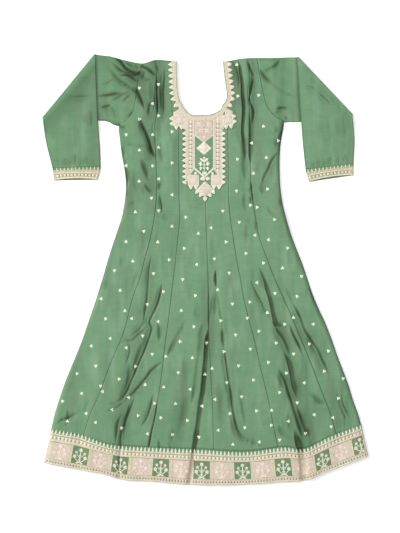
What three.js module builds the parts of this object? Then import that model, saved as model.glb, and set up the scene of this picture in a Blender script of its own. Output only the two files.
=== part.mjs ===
// A long kurta of twelve kalis (flared panels), laid out on a table face up. Each sleeve is
// folded over along a diagonal, so that its cuff points at the hem.
//
// Millimetres, +Z up. The shoulders lie towards +Y and the table top is Z = 0. Tables give:
//   x     across the garment, from the middle of its laid width, + to the right as seen
//   drop  down the garment, from the shoulder point beside the neck
import * as THREE from 'three';

// ------------------------------------------------------------------ cloth and clearances
const CLOTH = 1.2; // wall of the silk with its turnings
const SEAM = 0.3; // clearance between pieces that are sewn together
const YOKE_LIFT = 0.5; // how far the front lies above the back under the stiff yoke
const FULLNESS = 6.5; // usual height of the front's puffed cloth over the back
const ROLL = 16; // width of the rolled edge where front turns into back
const BINDING = { wide: 2.4, high: 1.0 }; // rolled binding of the neck edge

const LAYERS = 2 * CLOTH + SEAM; // front and back lying flat on each other
const FOLD_AXIS = LAYERS + 0.6; // height of the line that a sleeve is folded over
const FOLDED_OVER = 2 * FOLD_AXIS - LAYERS; // underside of a folded-over sleeve
const FOLD_INSET = 3; // the fold's roll keeps this much of the sleeve's outline

const COLOURS = { silk: '#6f9a74', cream: '#e4dcc4', blush: '#dccabc', binding: '#8f9c86' };

// ------------------------------------------------------------------ the cut, laid out
// The top edge, from the left sleeve's fold over both shoulders to the right sleeve's fold.
const SHOULDER = [
  { x: -320, drop: -22 },
  { x: -282, drop: -22 },
  { x: -247, drop: -7 },
  { x: -212, drop: 2 },
  { x: -180, drop: 6 },
  { x: -143, drop: -4 },
  { x: -85, drop: 0 },
  { x: 54, drop: 1 },
  { x: 101, drop: -7 },
  { x: 150, drop: -10 },
  { x: 205, drop: -10 },
  { x: 269, drop: -14 },
];

// Lines from the shoulders to the underarms: one row for each of the front's upper rows.
const UPPER = {
  armholeLeft: [
    { x: -180, drop: 6 },
    { x: -194, drop: 52 },
    { x: -199, drop: 92 },
    { x: -206, drop: 132 },
    { x: -218, drop: 158 },
    { x: -234, drop: 175 },
    { x: -250, drop: 187 },
  ],
  seamLeft: [
    { x: -143, drop: -4 },
    { x: -140, drop: 45 },
    { x: -138, drop: 88 },
    { x: -138, drop: 125 },
    { x: -140, drop: 150 },
    { x: -143, drop: 169 },
    { x: -145, drop: 188 },
  ],
  neckLeft: [
    { x: -85, drop: 0 },
    { x: -84, drop: 45 },
    { x: -81, drop: 90 },
    { x: -76, drop: 114 },
    { x: -67, drop: 131 },
    { x: -73, drop: 158 },
    { x: -75, drop: 187 },
  ],
  centre: [
    { x: -7, drop: 158 },
    { x: -6, drop: 172 },
    { x: -5, drop: 188 },
  ],
  neckRight: [
    { x: 54, drop: 1 },
    { x: 58, drop: 45 },
    { x: 65, drop: 95 },
    { x: 61, drop: 117 },
    { x: 52, drop: 131 },
    { x: 62, drop: 158 },
    { x: 65, drop: 187 },
  ],
  seamRight: [
    { x: 127, drop: -8 },
    { x: 128, drop: 40 },
    { x: 128, drop: 86 },
    { x: 129, drop: 125 },
    { x: 129, drop: 150 },
    { x: 129, drop: 168 },
    { x: 129, drop: 184 },
  ],
  armholeRight: [
    { x: 150, drop: -10 },
    { x: 158, drop: 37 },
    { x: 168, drop: 87 },
    { x: 179, drop: 129 },
    { x: 194, drop: 150 },
    { x: 212, drop: 167 },
    { x: 228, drop: 177 },
  ],
};
const NECK_ROW = 4; // the row where the neck's sides end and its round bottom starts

// The round bottom of the neck, between the two centre-side seams.
const NECK_BOTTOM = [
  { x: -67, drop: 131 },
  { x: -57, drop: 145 },
  { x: -40, drop: 157 },
  { x: -7, drop: 158 },
  { x: 8, drop: 158 },
  { x: 31, drop: 151 },
  { x: 46, drop: 142 },
  { x: 52, drop: 131 },
];

// Below the underarms: both sides and the five seams between the six front kalis.
const ACROSS = [
  { drop: 187, left: -250, seamL: -145, innerL: -75, centre: -5, innerR: 65, seamR: 129, right: 227 },
  { drop: 257, left: -244, seamL: -143, innerL: -76, centre: -3, innerR: 67, seamR: 130, right: 217 },
  { drop: 344, left: -230, seamL: -140, innerL: -75, centre: 0, innerR: 68, seamR: 132, right: 217 },
  { drop: 402, left: -233, seamL: -141, innerL: -75, centre: 2, innerR: 69, seamR: 138, right: 223 },
  { drop: 460, left: -244, seamL: -148, innerL: -73, centre: 3, innerR: 74, seamR: 147, right: 237 },
  { drop: 518, left: -264, seamL: -159, innerL: -79, centre: 5, innerR: 83, seamR: 159, right: 255 },
  { drop: 576, left: -282, seamL: -175, innerL: -85, centre: 7, innerR: 92, seamR: 181, right: 278 },
  { drop: 634, left: -299, seamL: -190, innerL: -92, centre: 9, innerR: 103, seamR: 203, right: 298 },
  { drop: 692, left: -317, seamL: -212, innerL: -99, centre: 10, innerR: 113, seamR: 230, right: 318 },
  { drop: 750, left: -337, seamL: -225, innerL: -106, centre: 11, innerR: 128, seamR: 255, right: 345 },
  { drop: 808, left: -357, seamL: -244, innerL: -114, centre: 11, innerR: 143, seamR: 279, right: 368 },
  { drop: 866, left: -380, seamL: -270, innerL: -121, centre: 15, innerR: 156, seamR: 303, right: 388 },
  { drop: 924, left: -404, seamL: -291, innerL: -128, centre: 18, innerR: 170, seamR: 325, right: 411 },
  { drop: 982, left: -424, seamL: -314, innerL: -137, centre: 21, innerR: 184, seamR: 348, right: 429 },
  { drop: 1040, left: -441, seamL: -340, innerL: -148, centre: 23, innerR: 195, seamR: 369, right: 449 },
  { drop: 1098, left: -452, seamL: -357, innerL: -160, centre: 24, innerR: 207, seamR: 384, right: 460 },
];

// The seam where the border joins the kalis, and the border's lower edge.
const BORDER_SEAM = [
  { x: -446, drop: 1069 },
  { x: -363, drop: 1083 },
  { x: -276, drop: 1109 },
  { x: -160, drop: 1118 },
  { x: -15, drop: 1124 },
  { x: 121, drop: 1130 },
  { x: 231, drop: 1117 },
  { x: 284, drop: 1122 },
  { x: 362, drop: 1086 },
  { x: 452, drop: 1052 },
];
const BORDER_EDGE = [
  { x: -465, drop: 1163 },
  { x: -351, drop: 1185 },
  { x: -299, drop: 1194 },
  { x: -247, drop: 1210 },
  { x: -143, drop: 1217 },
  { x: -56, drop: 1225 },
  { x: 118, drop: 1225 },
  { x: 223, drop: 1217 },
  { x: 292, drop: 1213 },
  { x: 362, drop: 1185 },
  { x: 473, drop: 1143 },
];

// The lower edge of each upper sleeve, from the underarm to the fold.
const UNDERARM = {
  left: [
    { x: -473, drop: 164 },
    { x: -311, drop: 168 },
    { x: -282, drop: 173 },
    { x: -264, drop: 184 },
    { x: -250, drop: 187 },
  ],
  right: [
    { x: 228, drop: 177 },
    { x: 246, drop: 176 },
    { x: 278, drop: 176 },
    { x: 429, drop: 155 },
  ],
};

// The folded-over sleeves: their inner and outer edges at the fold, halfway, at the seam of the
// cuff and at the cuff's edge.
const SLEEVES = {
  left: {
    outward: -1,
    fold: { inner: { x: -320, drop: -22 }, outer: { x: -473, drop: 164 } },
    halfway: { inner: { x: -312, drop: 142 }, outer: { x: -461, drop: 236 } },
    seam: { inner: { x: -303, drop: 304 }, outer: { x: -443, drop: 309 } },
    edge: { inner: { x: -311, drop: 343 }, outer: { x: -438, drop: 345 } },
  },
  right: {
    outward: 1,
    fold: { inner: { x: 269, drop: -14 }, outer: { x: 429, drop: 155 } },
    halfway: { inner: { x: 276, drop: 150 }, outer: { x: 433, drop: 225 } },
    seam: { inner: { x: 291, drop: 312 }, outer: { x: 430, drop: 296 } },
    edge: { inner: { x: 301, drop: 349 }, outer: { x: 430, drop: 330 } },
  },
};

// The yoke's outer outline, from the left shoulder down to its tip and up to the right one.
const YOKE = [
  { x: -105, drop: 2 },
  { x: -104, drop: 90 },
  { x: -100, drop: 152 },
  { x: -100, drop: 194 },
  { x: -68, drop: 198 },
  { x: -67, drop: 335 },
  { x: -54, drop: 372 },
  { x: -26, drop: 374 },
  { x: -2, drop: 408 },
  { x: 22, drop: 374 },
  { x: 48, drop: 372 },
  { x: 60, drop: 335 },
  { x: 60, drop: 198 },
  { x: 90, drop: 192 },
  { x: 90, drop: 152 },
  { x: 84, drop: 90 },
  { x: 76, drop: -1 },
];

// The largest folds of the front: troughs (-) and ridges (+), soft at both ends.
const TROUGH = -6;
const CREASE = -4;
const RIDGE = 6;
const FOLDS = [
  // deep fold left of the middle
  { height: TROUGH, width: 22, path: [[8, 764], [-12, 938], [-38, 1150]] },
  // ridge beside it
  { height: RIDGE, width: 26, path: [[-22, 790], [-44, 960], [-66, 1190]] },
  // fold right of the middle
  { height: TROUGH, width: 22, path: [[28, 610], [53, 837], [84, 1069], [112, 1140]] },
  // ridge between the two
  { height: RIDGE, width: 30, path: [[20, 800], [26, 940], [22, 1190]] },
  // long fold, left
  { height: TROUGH, width: 22, path: [[-131, 657], [-165, 770], [-218, 924], [-244, 976]] },
  // ridge outside it
  { height: RIDGE, width: 30, path: [[-170, 640], [-205, 790], [-262, 940]] },
  // slanting fold, left
  { height: TROUGH, width: 24, path: [[-131, 877], [-224, 970], [-270, 1014]] },
  // fold into the border, left
  { height: TROUGH, width: 22, path: [[-183, 958], [-215, 1069], [-244, 1150]] },
  // ridge beside that
  { height: RIDGE, width: 28, path: [[-150, 950], [-180, 1060], [-200, 1190]] },
  // corner crease
  { height: CREASE, width: 20, path: [[-440, 1054], [-421, 1034], [-363, 1016]] },
  // short fold, right
  { height: CREASE, width: 22, path: [[121, 610], [144, 663], [182, 744]] },
  // long fold, right
  { height: TROUGH, width: 22, path: [[159, 607], [214, 767], [252, 900], [262, 970]] },
  // ridge outside that
  { height: RIDGE, width: 26, path: [[196, 640], [244, 770], [280, 910]] },
  // outer fold, right
  { height: TROUGH, width: 22, path: [[234, 663], [304, 808], [345, 889]] },
  // lower fold, right
  { height: TROUGH, width: 22, path: [[205, 871], [249, 1011], [278, 1150]] },
  // ridge over the border, right
  { height: RIDGE, width: 26, path: [[250, 900], [284, 1010], [312, 1180]] },
  // side fold, right
  { height: CREASE, width: 22, path: [[385, 967], [417, 1043]] },
  // strap fold, right
  { height: TROUGH, width: 20, path: [[116, 10], [116, 141], [114, 344]] },
  // strap ridge, right
  { height: RIDGE, width: 20, path: [[138, 50], [150, 140], [146, 290]] },
  // fold from the underarm, left
  { height: TROUGH, width: 22, path: [[-196, 70], [-180, 150], [-143, 280]] },
  // waist crease, right
  { height: CREASE, width: 22, path: [[206, 290], [173, 329], [165, 373]] },
];
const FOLD_TAPER = 0.18; // share of a fold's length over which it rises or sinks at each end
const FOLD_END = 0.25; // share of its height that is left at its very ends
const LEAST_FULLNESS = 0.3; // the front never sinks lower than this between its layers

// ------------------------------------------------------------------ small helpers
const mix = (a, b, t) => a + (b - a) * t;
const mixPoint = (a, b, t) => ({ x: mix(a.x, b.x, t), drop: mix(a.drop, b.drop, t) });
const clamp01 = (t) => Math.min(1, Math.max(0, t));
const ease = (t) => clamp01(t) ** 2 * (3 - 2 * clamp01(t));

// A smooth curve through a table's rows: the value of one column at a value of another.
function along(table, by, column) {
  const at = table.map((row) => row[by]);
  const value = table.map((row) => row[column]);
  const last = table.length - 1;
  const slope = value.map((_, i) => {
    const a = Math.max(0, i - 1);
    const b = Math.min(last, i + 1);
    return (value[b] - value[a]) / (at[b] - at[a]);
  });
  return (where) => {
    let i = 0;
    while (i < last - 1 && where > at[i + 1]) {
      i += 1;
    }
    const width = at[i + 1] - at[i];
    const t = (where - at[i]) / width;
    if (t < 0) return value[i] + slope[i] * width * t;
    if (t > 1) return value[i + 1] + slope[i + 1] * width * (t - 1);
    const climb = value[i + 1] - value[i];
    const leaving = slope[i] * width;
    const arriving = slope[i + 1] * width;
    const bend = (leaving + arriving - 2 * climb) * t ** 3;
    const rise = (3 * climb - 2 * leaving - arriving) * t ** 2;
    return bend + rise + leaving * t + value[i];
  };
}

// How far a point lies from a line of points, and how far along the line its nearest point is.
function nearest(path, x, drop) {
  const best = { off: Infinity, share: 0 };
  const steps = path.length - 1;
  for (let i = 0; i < steps; i += 1) {
    const [ax, ad] = path[i];
    const [bx, bd] = path[i + 1];
    const ahead = (x - ax) * (bx - ax) + (drop - ad) * (bd - ad);
    const t = clamp01(ahead / ((bx - ax) ** 2 + (bd - ad) ** 2));
    const off = Math.hypot(x - mix(ax, bx, t), drop - mix(ad, bd, t));
    if (off < best.off) Object.assign(best, { off, share: (i + t) / steps });
  }
  return best;
}

const shoulderDrop = along(SHOULDER, 'x', 'drop');
const neckDrop = along(NECK_BOTTOM, 'x', 'drop');
const borderSeamDrop = along(BORDER_SEAM, 'x', 'drop');
const borderEdgeDrop = along(BORDER_EDGE, 'x', 'drop');

// ------------------------------------------------------------------ seams, as rows of points
const SKIRT_ROWS = 19;
const SKIRT_TOP = 232;
const SKIRT_LOWEST = 1026;
const BORDER_NEAR = 1110; // about where the kalis end; the rounds below find the exact place
const SEAM_ROUNDS = 6;

// One seam or edge: its upper points, even rows down the skirt, and a last point on the border.
function seamLine(upper, column) {
  const xAt = along(ACROSS, 'drop', column);
  const skirt = Array.from({ length: SKIRT_ROWS }, (_, i) => {
    const drop = mix(SKIRT_TOP, SKIRT_LOWEST, i / (SKIRT_ROWS - 1));
    return { x: xAt(drop), drop };
  });
  let end = { x: xAt(BORDER_NEAR), drop: BORDER_NEAR };
  for (let i = 0; i < SEAM_ROUNDS; i += 1) {
    const drop = borderSeamDrop(end.x);
    end = { x: xAt(drop), drop };
  }
  return [...upper, ...skirt, end];
}

const LINES = [
  seamLine(UPPER.armholeLeft, 'left'),
  seamLine(UPPER.seamLeft, 'seamL'),
  seamLine(UPPER.neckLeft, 'innerL'),
  seamLine([...Array(NECK_ROW).fill(UPPER.centre[0]), ...UPPER.centre], 'centre'),
  seamLine(UPPER.neckRight, 'innerR'),
  seamLine(UPPER.seamRight, 'seamR'),
  seamLine(UPPER.armholeRight, 'right'),
];
const LAST_ROW = LINES[0].length - 1;
const UNDERARM_ROW = UPPER.armholeLeft.length - 1;

// A point of a line, moved square to the line by half a seam towards +x or -x.
function beside(line, row, towards, from = 0) {
  const before = line[Math.max(from, row - 1)];
  const after = line[Math.min(line.length - 1, row + 1)];
  const run = Math.hypot(after.x - before.x, after.drop - before.drop);
  return {
    x: line[row].x + (towards * SEAM * (after.drop - before.drop)) / (2 * run),
    drop: line[row].drop - (towards * SEAM * (after.x - before.x)) / (2 * run),
  };
}

// ------------------------------------------------------------------ the front's height
// The garment's closed edges on each side, from the border up to the neck.
const plain = (points) => points.map(({ x, drop }) => [x, drop]);
const NECK_SIDES = { left: UPPER.neckLeft[0].x, right: UPPER.neckRight[0].x };
const CLOSED_EDGES = [
  plain([
    BORDER_EDGE[0],
    ...LINES[0].slice(UNDERARM_ROW).reverse(),
    ...[...UNDERARM.left].reverse(),
    ...SHOULDER.filter(({ x }) => x <= NECK_SIDES.left),
  ]),
  plain([
    BORDER_EDGE.at(-1),
    ...LINES[6].slice(UNDERARM_ROW).reverse(),
    ...UNDERARM.right,
    ...SHOULDER.filter(({ x }) => x >= NECK_SIDES.right).reverse(),
  ]),
];
const YOKE_CLEAR = 24; // the front stays level this far beside the yoke
const YOKE_RISE = 34; // and rises over this width
const YOKE_BELOW = 0.5; // below its tip both are twice as long, as the front's rows are
const YOKE_PATH = YOKE.map(({ x, drop }) => [x, drop * YOKE_BELOW]);
const YOKE_MIDDLE = { x: -4, bottom: 372, half: 66 };

function overYoke(x, drop) {
  if (Math.abs(x - YOKE_MIDDLE.x) < YOKE_MIDDLE.half && drop < YOKE_MIDDLE.bottom) return 0;
  return ease((nearest(YOKE_PATH, x, drop * YOKE_BELOW).off - YOKE_CLEAR) / YOKE_RISE);
}

// Height of the front's underside over its lowest place, at any point of body or upper sleeve.
function lift(x, drop) {
  let height = FULLNESS;
  for (const fold of FOLDS) {
    const { off, share } = nearest(fold.path, x, drop);
    const inwards = ease(Math.min(share, 1 - share) / FOLD_TAPER);
    height += fold.height * Math.exp(-((off / fold.width) ** 2) * 2) * mix(FOLD_END, 1, inwards);
  }
  const inside = Math.min(...CLOSED_EDGES.map((edge) => nearest(edge, x, drop).off));
  const roll = Math.sqrt(1 - (1 - clamp01(inside / ROLL)) ** 2);
  return YOKE_LIFT + (Math.max(LEAST_FULLNESS, height) - YOKE_LIFT) * roll * overYoke(x, drop);
}

// ------------------------------------------------------------------ making closed solids
const place = ({ x, drop }, z) => new THREE.Vector3(x, -drop, z);

// The two triangles of a four-cornered face, or the same ones seen from its other side.
const quad = (a, b, c, d) => [[a, b, c], [a, c, d]];
const turnedQuad = (a, b, c, d) => [[a, c, b], [a, d, c]];

// A geometry of points and faces, with the faces turned outwards.
function solid(points, faces) {
  let volume = 0;
  for (const [a, b, c] of faces) {
    volume += points[a].dot(new THREE.Vector3().crossVectors(points[b], points[c]));
  }
  const turned = volume < 0 ? faces.map(([a, b, c]) => [a, c, b]) : faces;
  const geometry = new THREE.BufferGeometry();
  const numbers = points.flatMap((point) => point.toArray());
  geometry.setAttribute('position', new THREE.Float32BufferAttribute(numbers, 3));
  geometry.setIndex(turned.flat());
  geometry.computeVertexNormals();
  return geometry;
}

// Cloth from a grid of plan points, each with the heights of its underside and its upper side.
function clothWall(grid) {
  const rows = grid.length;
  const columns = grid[0].length;
  const spots = grid.flat();
  const lowPoints = spots.map((spot) => place(spot, spot.low));
  const highPoints = spots.map((spot) => place(spot, spot.high));
  const low = (r, c) => r * columns + c;
  const high = (r, c) => rows * columns + low(r, c);
  const faces = [];
  for (let r = 0; r < rows - 1; r += 1) {
    for (let c = 0; c < columns - 1; c += 1) {
      faces.push(...quad(high(r, c), high(r + 1, c), high(r + 1, c + 1), high(r, c + 1)));
      faces.push(...turnedQuad(low(r, c), low(r + 1, c), low(r + 1, c + 1), low(r, c + 1)));
    }
    const last = columns - 1;
    faces.push(...turnedQuad(high(r, 0), high(r + 1, 0), low(r + 1, 0), low(r, 0)));
    faces.push(...quad(high(r, last), high(r + 1, last), low(r + 1, last), low(r, last)));
  }
  for (let c = 0; c < columns - 1; c += 1) {
    const last = rows - 1;
    faces.push(...quad(high(0, c), high(0, c + 1), low(0, c + 1), low(0, c)));
    faces.push(...turnedQuad(high(last, c), high(last, c + 1), low(last, c + 1), low(last, c)));
  }
  return solid([...lowPoints, ...highPoints], faces);
}

// A flattened tube of cloth: each ring has an outer and an inner loop of points.
function clothTube(rings) {
  const around = rings[0].outer.length;
  const last = rings.length - 1;
  const points = rings.flatMap(({ outer, inner }) => [...outer, ...inner]);
  const outer = (k, i) => k * 2 * around + (i % around);
  const inner = (k, i) => outer(k, i) + around;
  const faces = [];
  for (let i = 0; i < around; i += 1) {
    for (let k = 0; k < last; k += 1) {
      faces.push(...quad(outer(k, i), outer(k + 1, i), outer(k + 1, i + 1), outer(k, i + 1)));
      faces.push(...turnedQuad(inner(k, i), inner(k + 1, i), inner(k + 1, i + 1), inner(k, i + 1)));
    }
    faces.push(...quad(outer(0, i), outer(0, i + 1), inner(0, i + 1), inner(0, i)));
    faces.push(...turnedQuad(outer(last, i), outer(last, i + 1), inner(last, i + 1), inner(last, i)));
  }
  return solid(points, faces);
}

function piece(name, geometry, color, roughness) {
  const material = new THREE.MeshStandardMaterial({ color, roughness, metalness: 0 });
  const mesh = new THREE.Mesh(geometry, material);
  mesh.name = name;
  return mesh;
}

// ------------------------------------------------------------------ kalis and border
const KALIS = [
  { name: 'left_side', columns: 6, backColumns: 2, from: 0 },
  { name: 'left_middle', columns: 5, backColumns: 2, from: 0 },
  { name: 'left_centre', columns: 4, backColumns: 4, from: NECK_ROW },
  { name: 'right_centre', columns: 4, backColumns: 4, from: NECK_ROW },
  { name: 'right_middle', columns: 5, backColumns: 2, from: 0 },
  { name: 'right_side', columns: 6, backColumns: 2, from: 0 },
];

// The plan points of one kali, row by row. Front and back are cut alike.
function kaliRows(index, columns) {
  const { from } = KALIS[index];
  const rows = [];
  for (let row = from; row <= LAST_ROW; row += 1) {
    const left = beside(LINES[index], row, 1, from);
    const right = beside(LINES[index + 1], row, -1, from);
    rows.push(Array.from({ length: columns + 1 }, (_, c) => mixPoint(left, right, c / columns)));
  }
  for (const spot of rows[0]) spot.drop = from === 0 ? shoulderDrop(spot.x) : neckDrop(spot.x);
  for (const spot of rows.at(-1)) spot.drop = borderSeamDrop(spot.x) - SEAM / 2;
  return rows;
}

const onFront = (spot) => {
  const low = CLOTH + SEAM + lift(spot.x, spot.drop);
  return { ...spot, low, high: low + CLOTH };
};
const onBack = (spot) => ({ ...spot, low: 0, high: CLOTH });

function kalis() {
  return KALIS.flatMap(({ name, columns, backColumns }, index) => {
    const front = kaliRows(index, columns).map((row) => row.map(onFront));
    const back = kaliRows(index, backColumns).map((row) => row.map(onBack));
    return [
      piece(`kali_front_${name}`, clothWall(front), COLOURS.silk, 0.45),
      piece(`kali_back_${name}`, clothWall(back), COLOURS.silk, 0.45),
    ];
  });
}

// The border's rows hang from the kalis' lowest points, so that the seam keeps its clearance.
const BORDER_ROWS = 3;
const BORDER_SPREAD = 1.045; // the border flares a little wider than the kalis

function borderRows(columnsOf) {
  const top = KALIS.flatMap((kali, index) => {
    const row = kaliRows(index, columnsOf(kali)).at(-1);
    return index === 0 ? row : row.slice(1);
  });
  return Array.from({ length: BORDER_ROWS + 1 }, (_, r) =>
    top.map(({ x }) => {
      const t = r / BORDER_ROWS;
      const lower = x * mix(1, BORDER_SPREAD, t);
      return { x: lower, drop: mix(borderSeamDrop(x) + SEAM / 2, borderEdgeDrop(x * BORDER_SPREAD), t) };
    }),
  );
}

function borders() {
  const front = borderRows((kali) => kali.columns).map((row) => row.map(onFront));
  const back = borderRows((kali) => kali.backColumns).map((row) => row.map(onBack));
  return [
    piece('border_front', clothWall(front), COLOURS.blush, 0.6),
    piece('border_back', clothWall([back[0], back.at(-1)]), COLOURS.blush, 0.6),
  ];
}

// ------------------------------------------------------------------ sleeves and cuffs
const SLEEVE_COLUMNS = UNDERARM_ROW;
const UPPER_RUNGS = 5;
const FOLD_RUNGS = 4;
const LOWER_RUNGS = 9;
const CUFF_RUNGS = 2;
const SLEEVE_FULLNESS = 2.5; // how far a folded-over sleeve puffs up in its middle
const STEP_DOWN = { from: 12, over: 50 }; // where it comes down off the upper sleeve
const FLAT_BESIDE = { clear: 42, over: 40 }; // the upper sleeve is flat under it
const EDGE_SHARE = 0.25; // a folded-over sleeve puffs up over this share of its width and length
const FOLD_SHARE = 0.2; // and over this share of its length from the fold

const shares = Array.from({ length: SLEEVE_COLUMNS + 1 }, (_, i) => i / SLEEVE_COLUMNS);

// A ring of the tube: `spot(share, column, layer, face)` gives a point of the front or back layer,
// on its outside or inside. The inside is one cloth narrower at both edges, so a point's place
// goes by its share of the width, and its height by its column.
function ring(spot, width) {
  const inset = CLOTH / width;
  const loop = (face, narrow) =>
    ['front', 'back'].flatMap((layer) => {
      const order = layer === 'front' ? shares : [...shares].reverse();
      return order.map((column) => spot(mix(narrow, 1 - narrow, column), column, layer, face));
    });
  return { outer: loop('out', 0), inner: loop('in', inset) };
}

// A point on a row of points, by its share of the row.
function onRow(row, share) {
  const at = clamp01(share) * (row.length - 1);
  const i = Math.min(row.length - 2, Math.floor(at));
  return mixPoint(row[i], row[i + 1], at - i);
}

const between = (a, b) => Math.hypot(a.x - b.x, a.drop - b.drop);

function sleeveRings(side) {
  const { outward, fold, halfway, seam } = SLEEVES[side];
  const armhole = outward < 0 ? LINES[0] : LINES[6];
  const under = along(UNDERARM[side], 'x', 'drop');
  const start = shares.map((_, row) => beside(armhole, row, outward));
  const rings = [];

  // The fold's axis lies a little inside the outline, because the roll stands out from it.
  const run = between(fold.inner, fold.outer);
  const square = {
    x: (outward * (fold.outer.drop - fold.inner.drop)) / run,
    drop: (-outward * (fold.outer.x - fold.inner.x)) / run,
  };
  const axis = shares.map((s) => {
    const spot = mixPoint(fold.inner, fold.outer, s);
    return { x: spot.x - square.x * FOLD_INSET, drop: spot.drop - square.drop * FOLD_INSET };
  });

  // Upper sleeve: flat where the folded-over part lies on it, as full as the body at the armhole.
  for (let k = 0; k < UPPER_RUNGS; k += 1) {
    const t = k / UPPER_RUNGS;
    const row = shares.map((s, i) => {
      const spot = mixPoint(start[i], axis[i], t);
      const top = shoulderDrop(spot.x) - mix(start[0].drop, axis[0].drop, t);
      const bottom = under(spot.x) - mix(start.at(-1).drop, axis.at(-1).drop, t);
      const blend = t > 0 ? mix(top * (1 - s) ** 2, bottom, s ** 2) : 0;
      return { x: spot.x, drop: spot.drop + blend * (1 - t) };
    });
    const spot = (share, column, layer, face) => {
      const at = onRow(row, share);
      if (layer === 'back') return place(at, face === 'out' ? 0 : CLOTH);
      const above = onRow(row, column);
      const clear = outward * (fold.inner.x - above.x) - FLAT_BESIDE.clear;
      const raised = (lift(above.x, above.drop) - YOKE_LIFT) * ease(clear / FLAT_BESIDE.over);
      return place(at, CLOTH + SEAM + raised + (face === 'out' ? CLOTH : 0));
    };
    rings.push(ring(spot, between(row[0], row.at(-1))));
  }

  // The fold: every layer turns half a circle round the axis.
  const flat = { back: { out: 0, in: CLOTH }, front: { out: LAYERS, in: LAYERS - CLOTH } };
  for (let k = 0; k <= FOLD_RUNGS; k += 1) {
    const angle = (Math.PI * k) / FOLD_RUNGS;
    const spot = (share, column, layer, face) => {
      const at = onRow(axis, share);
      const radius = FOLD_AXIS - flat[layer][face];
      const out = radius * Math.sin(angle);
      return place(
        { x: at.x + square.x * out, drop: at.drop + square.drop * out },
        FOLD_AXIS - radius * Math.cos(angle),
      );
    };
    rings.push(ring(spot, run));
  }

  // The folded-over part lies on the upper sleeve, then comes down on the table.
  const rungAt = (t) => {
    const early = t < 0.5;
    const from = early ? { inner: axis[0], outer: axis.at(-1) } : halfway;
    const to = early ? halfway : seam;
    const local = early ? t * 2 : t * 2 - 1;
    return { inner: mixPoint(from.inner, to.inner, local), outer: mixPoint(from.outer, to.outer, local) };
  };
  for (let k = 1; k <= LOWER_RUNGS; k += 1) {
    const t = k / LOWER_RUNGS;
    rings.push(lowerRing(rungAt(t), under, t, k === LOWER_RUNGS ? -SEAM / 2 : 0));
  }
  return rings;
}

// A ring of the folded-over sleeve. Its back layer is on top here, because it is turned over.
function lowerRing(rung, under, t, shift, tuck = 0) {
  const width = between(rung.inner, rung.outer);
  const spot = (share, column, layer, face) => {
    const at = mixPoint(rung.inner, rung.outer, share);
    at.drop += shift + (layer === 'front' ? tuck * share * (1 - share) * 4 : 0);
    const above = mixPoint(rung.inner, rung.outer, column);
    const past = (above.drop - under(above.x) - STEP_DOWN.from) / STEP_DOWN.over;
    const rest = FOLDED_OVER * (1 - ease(past));
    if (layer === 'front') return place(at, rest + (face === 'out' ? 0 : CLOTH));
    const across = ease(column / EDGE_SHARE) * ease((1 - column) / EDGE_SHARE);
    const down = ease(t / FOLD_SHARE) * ease((1 - t) / EDGE_SHARE);
    const full = SLEEVE_FULLNESS * across * down;
    return place(at, rest + LAYERS + full - (face === 'out' ? 0 : CLOTH));
  };
  return ring(spot, width);
}

const CUFF_TUCK = 5; // the under layer of a cuff shows this much below the upper one

function cuffRings(side) {
  const { seam, edge } = SLEEVES[side];
  const under = along(UNDERARM[side], 'x', 'drop');
  return Array.from({ length: CUFF_RUNGS + 1 }, (_, k) => {
    const t = k / CUFF_RUNGS;
    const rung = { inner: mixPoint(seam.inner, edge.inner, t), outer: mixPoint(seam.outer, edge.outer, t) };
    return lowerRing(rung, under, 1, k === 0 ? SEAM / 2 : 0, CUFF_TUCK * t);
  });
}

function sleeves() {
  return Object.keys(SLEEVES).flatMap((side) => [
    piece(`sleeve_${side}`, clothTube(sleeveRings(side)), COLOURS.silk, 0.45),
    piece(`cuff_${side}`, clothTube(cuffRings(side)), COLOURS.cream, 0.6),
  ]);
}

// ------------------------------------------------------------------ yoke and neck binding
const FRONT_TOP = 2 * CLOTH + SEAM + YOKE_LIFT; // upper side of the front under the yoke

// The neck edge, from the left shoulder round to the right one, through the kalis' own points.
function neckEdge() {
  const left = LINES[2].slice(0, NECK_ROW + 1).map((_, row) => beside(LINES[2], row, -1));
  const right = LINES[4].slice(0, NECK_ROW + 1).map((_, row) => beside(LINES[4], row, 1));
  left[0].drop = shoulderDrop(left[0].x);
  right[0].drop = shoulderDrop(right[0].x);
  const bottom = [...kaliRows(2, KALIS[2].columns)[0], ...kaliRows(3, KALIS[3].columns)[0].slice(1)];
  return [...left.slice(0, -1), ...bottom, ...right.slice(0, -1).reverse()];
}

function yoke() {
  const outline = [...neckEdge(), ...[...YOKE].reverse()];
  const shape = new THREE.Shape(outline.map(({ x, drop }) => new THREE.Vector2(x, -drop)));
  const geometry = new THREE.ExtrudeGeometry(shape, { depth: CLOTH, bevelEnabled: false });
  geometry.translate(0, 0, FRONT_TOP + SEAM);
  return piece('yoke', geometry, COLOURS.blush, 0.6);
}

// One closed loop: down and up the front of the neck, over each shoulder, and round the back.
const SHOULDER_TURN = [0.5, 1.5, 2.5, 3.5].map((step) => (Math.PI * step) / 4);
const BINDING_CORNERS = [[-1, -1], [1, -1], [1, 1], [-1, 1]];

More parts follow.
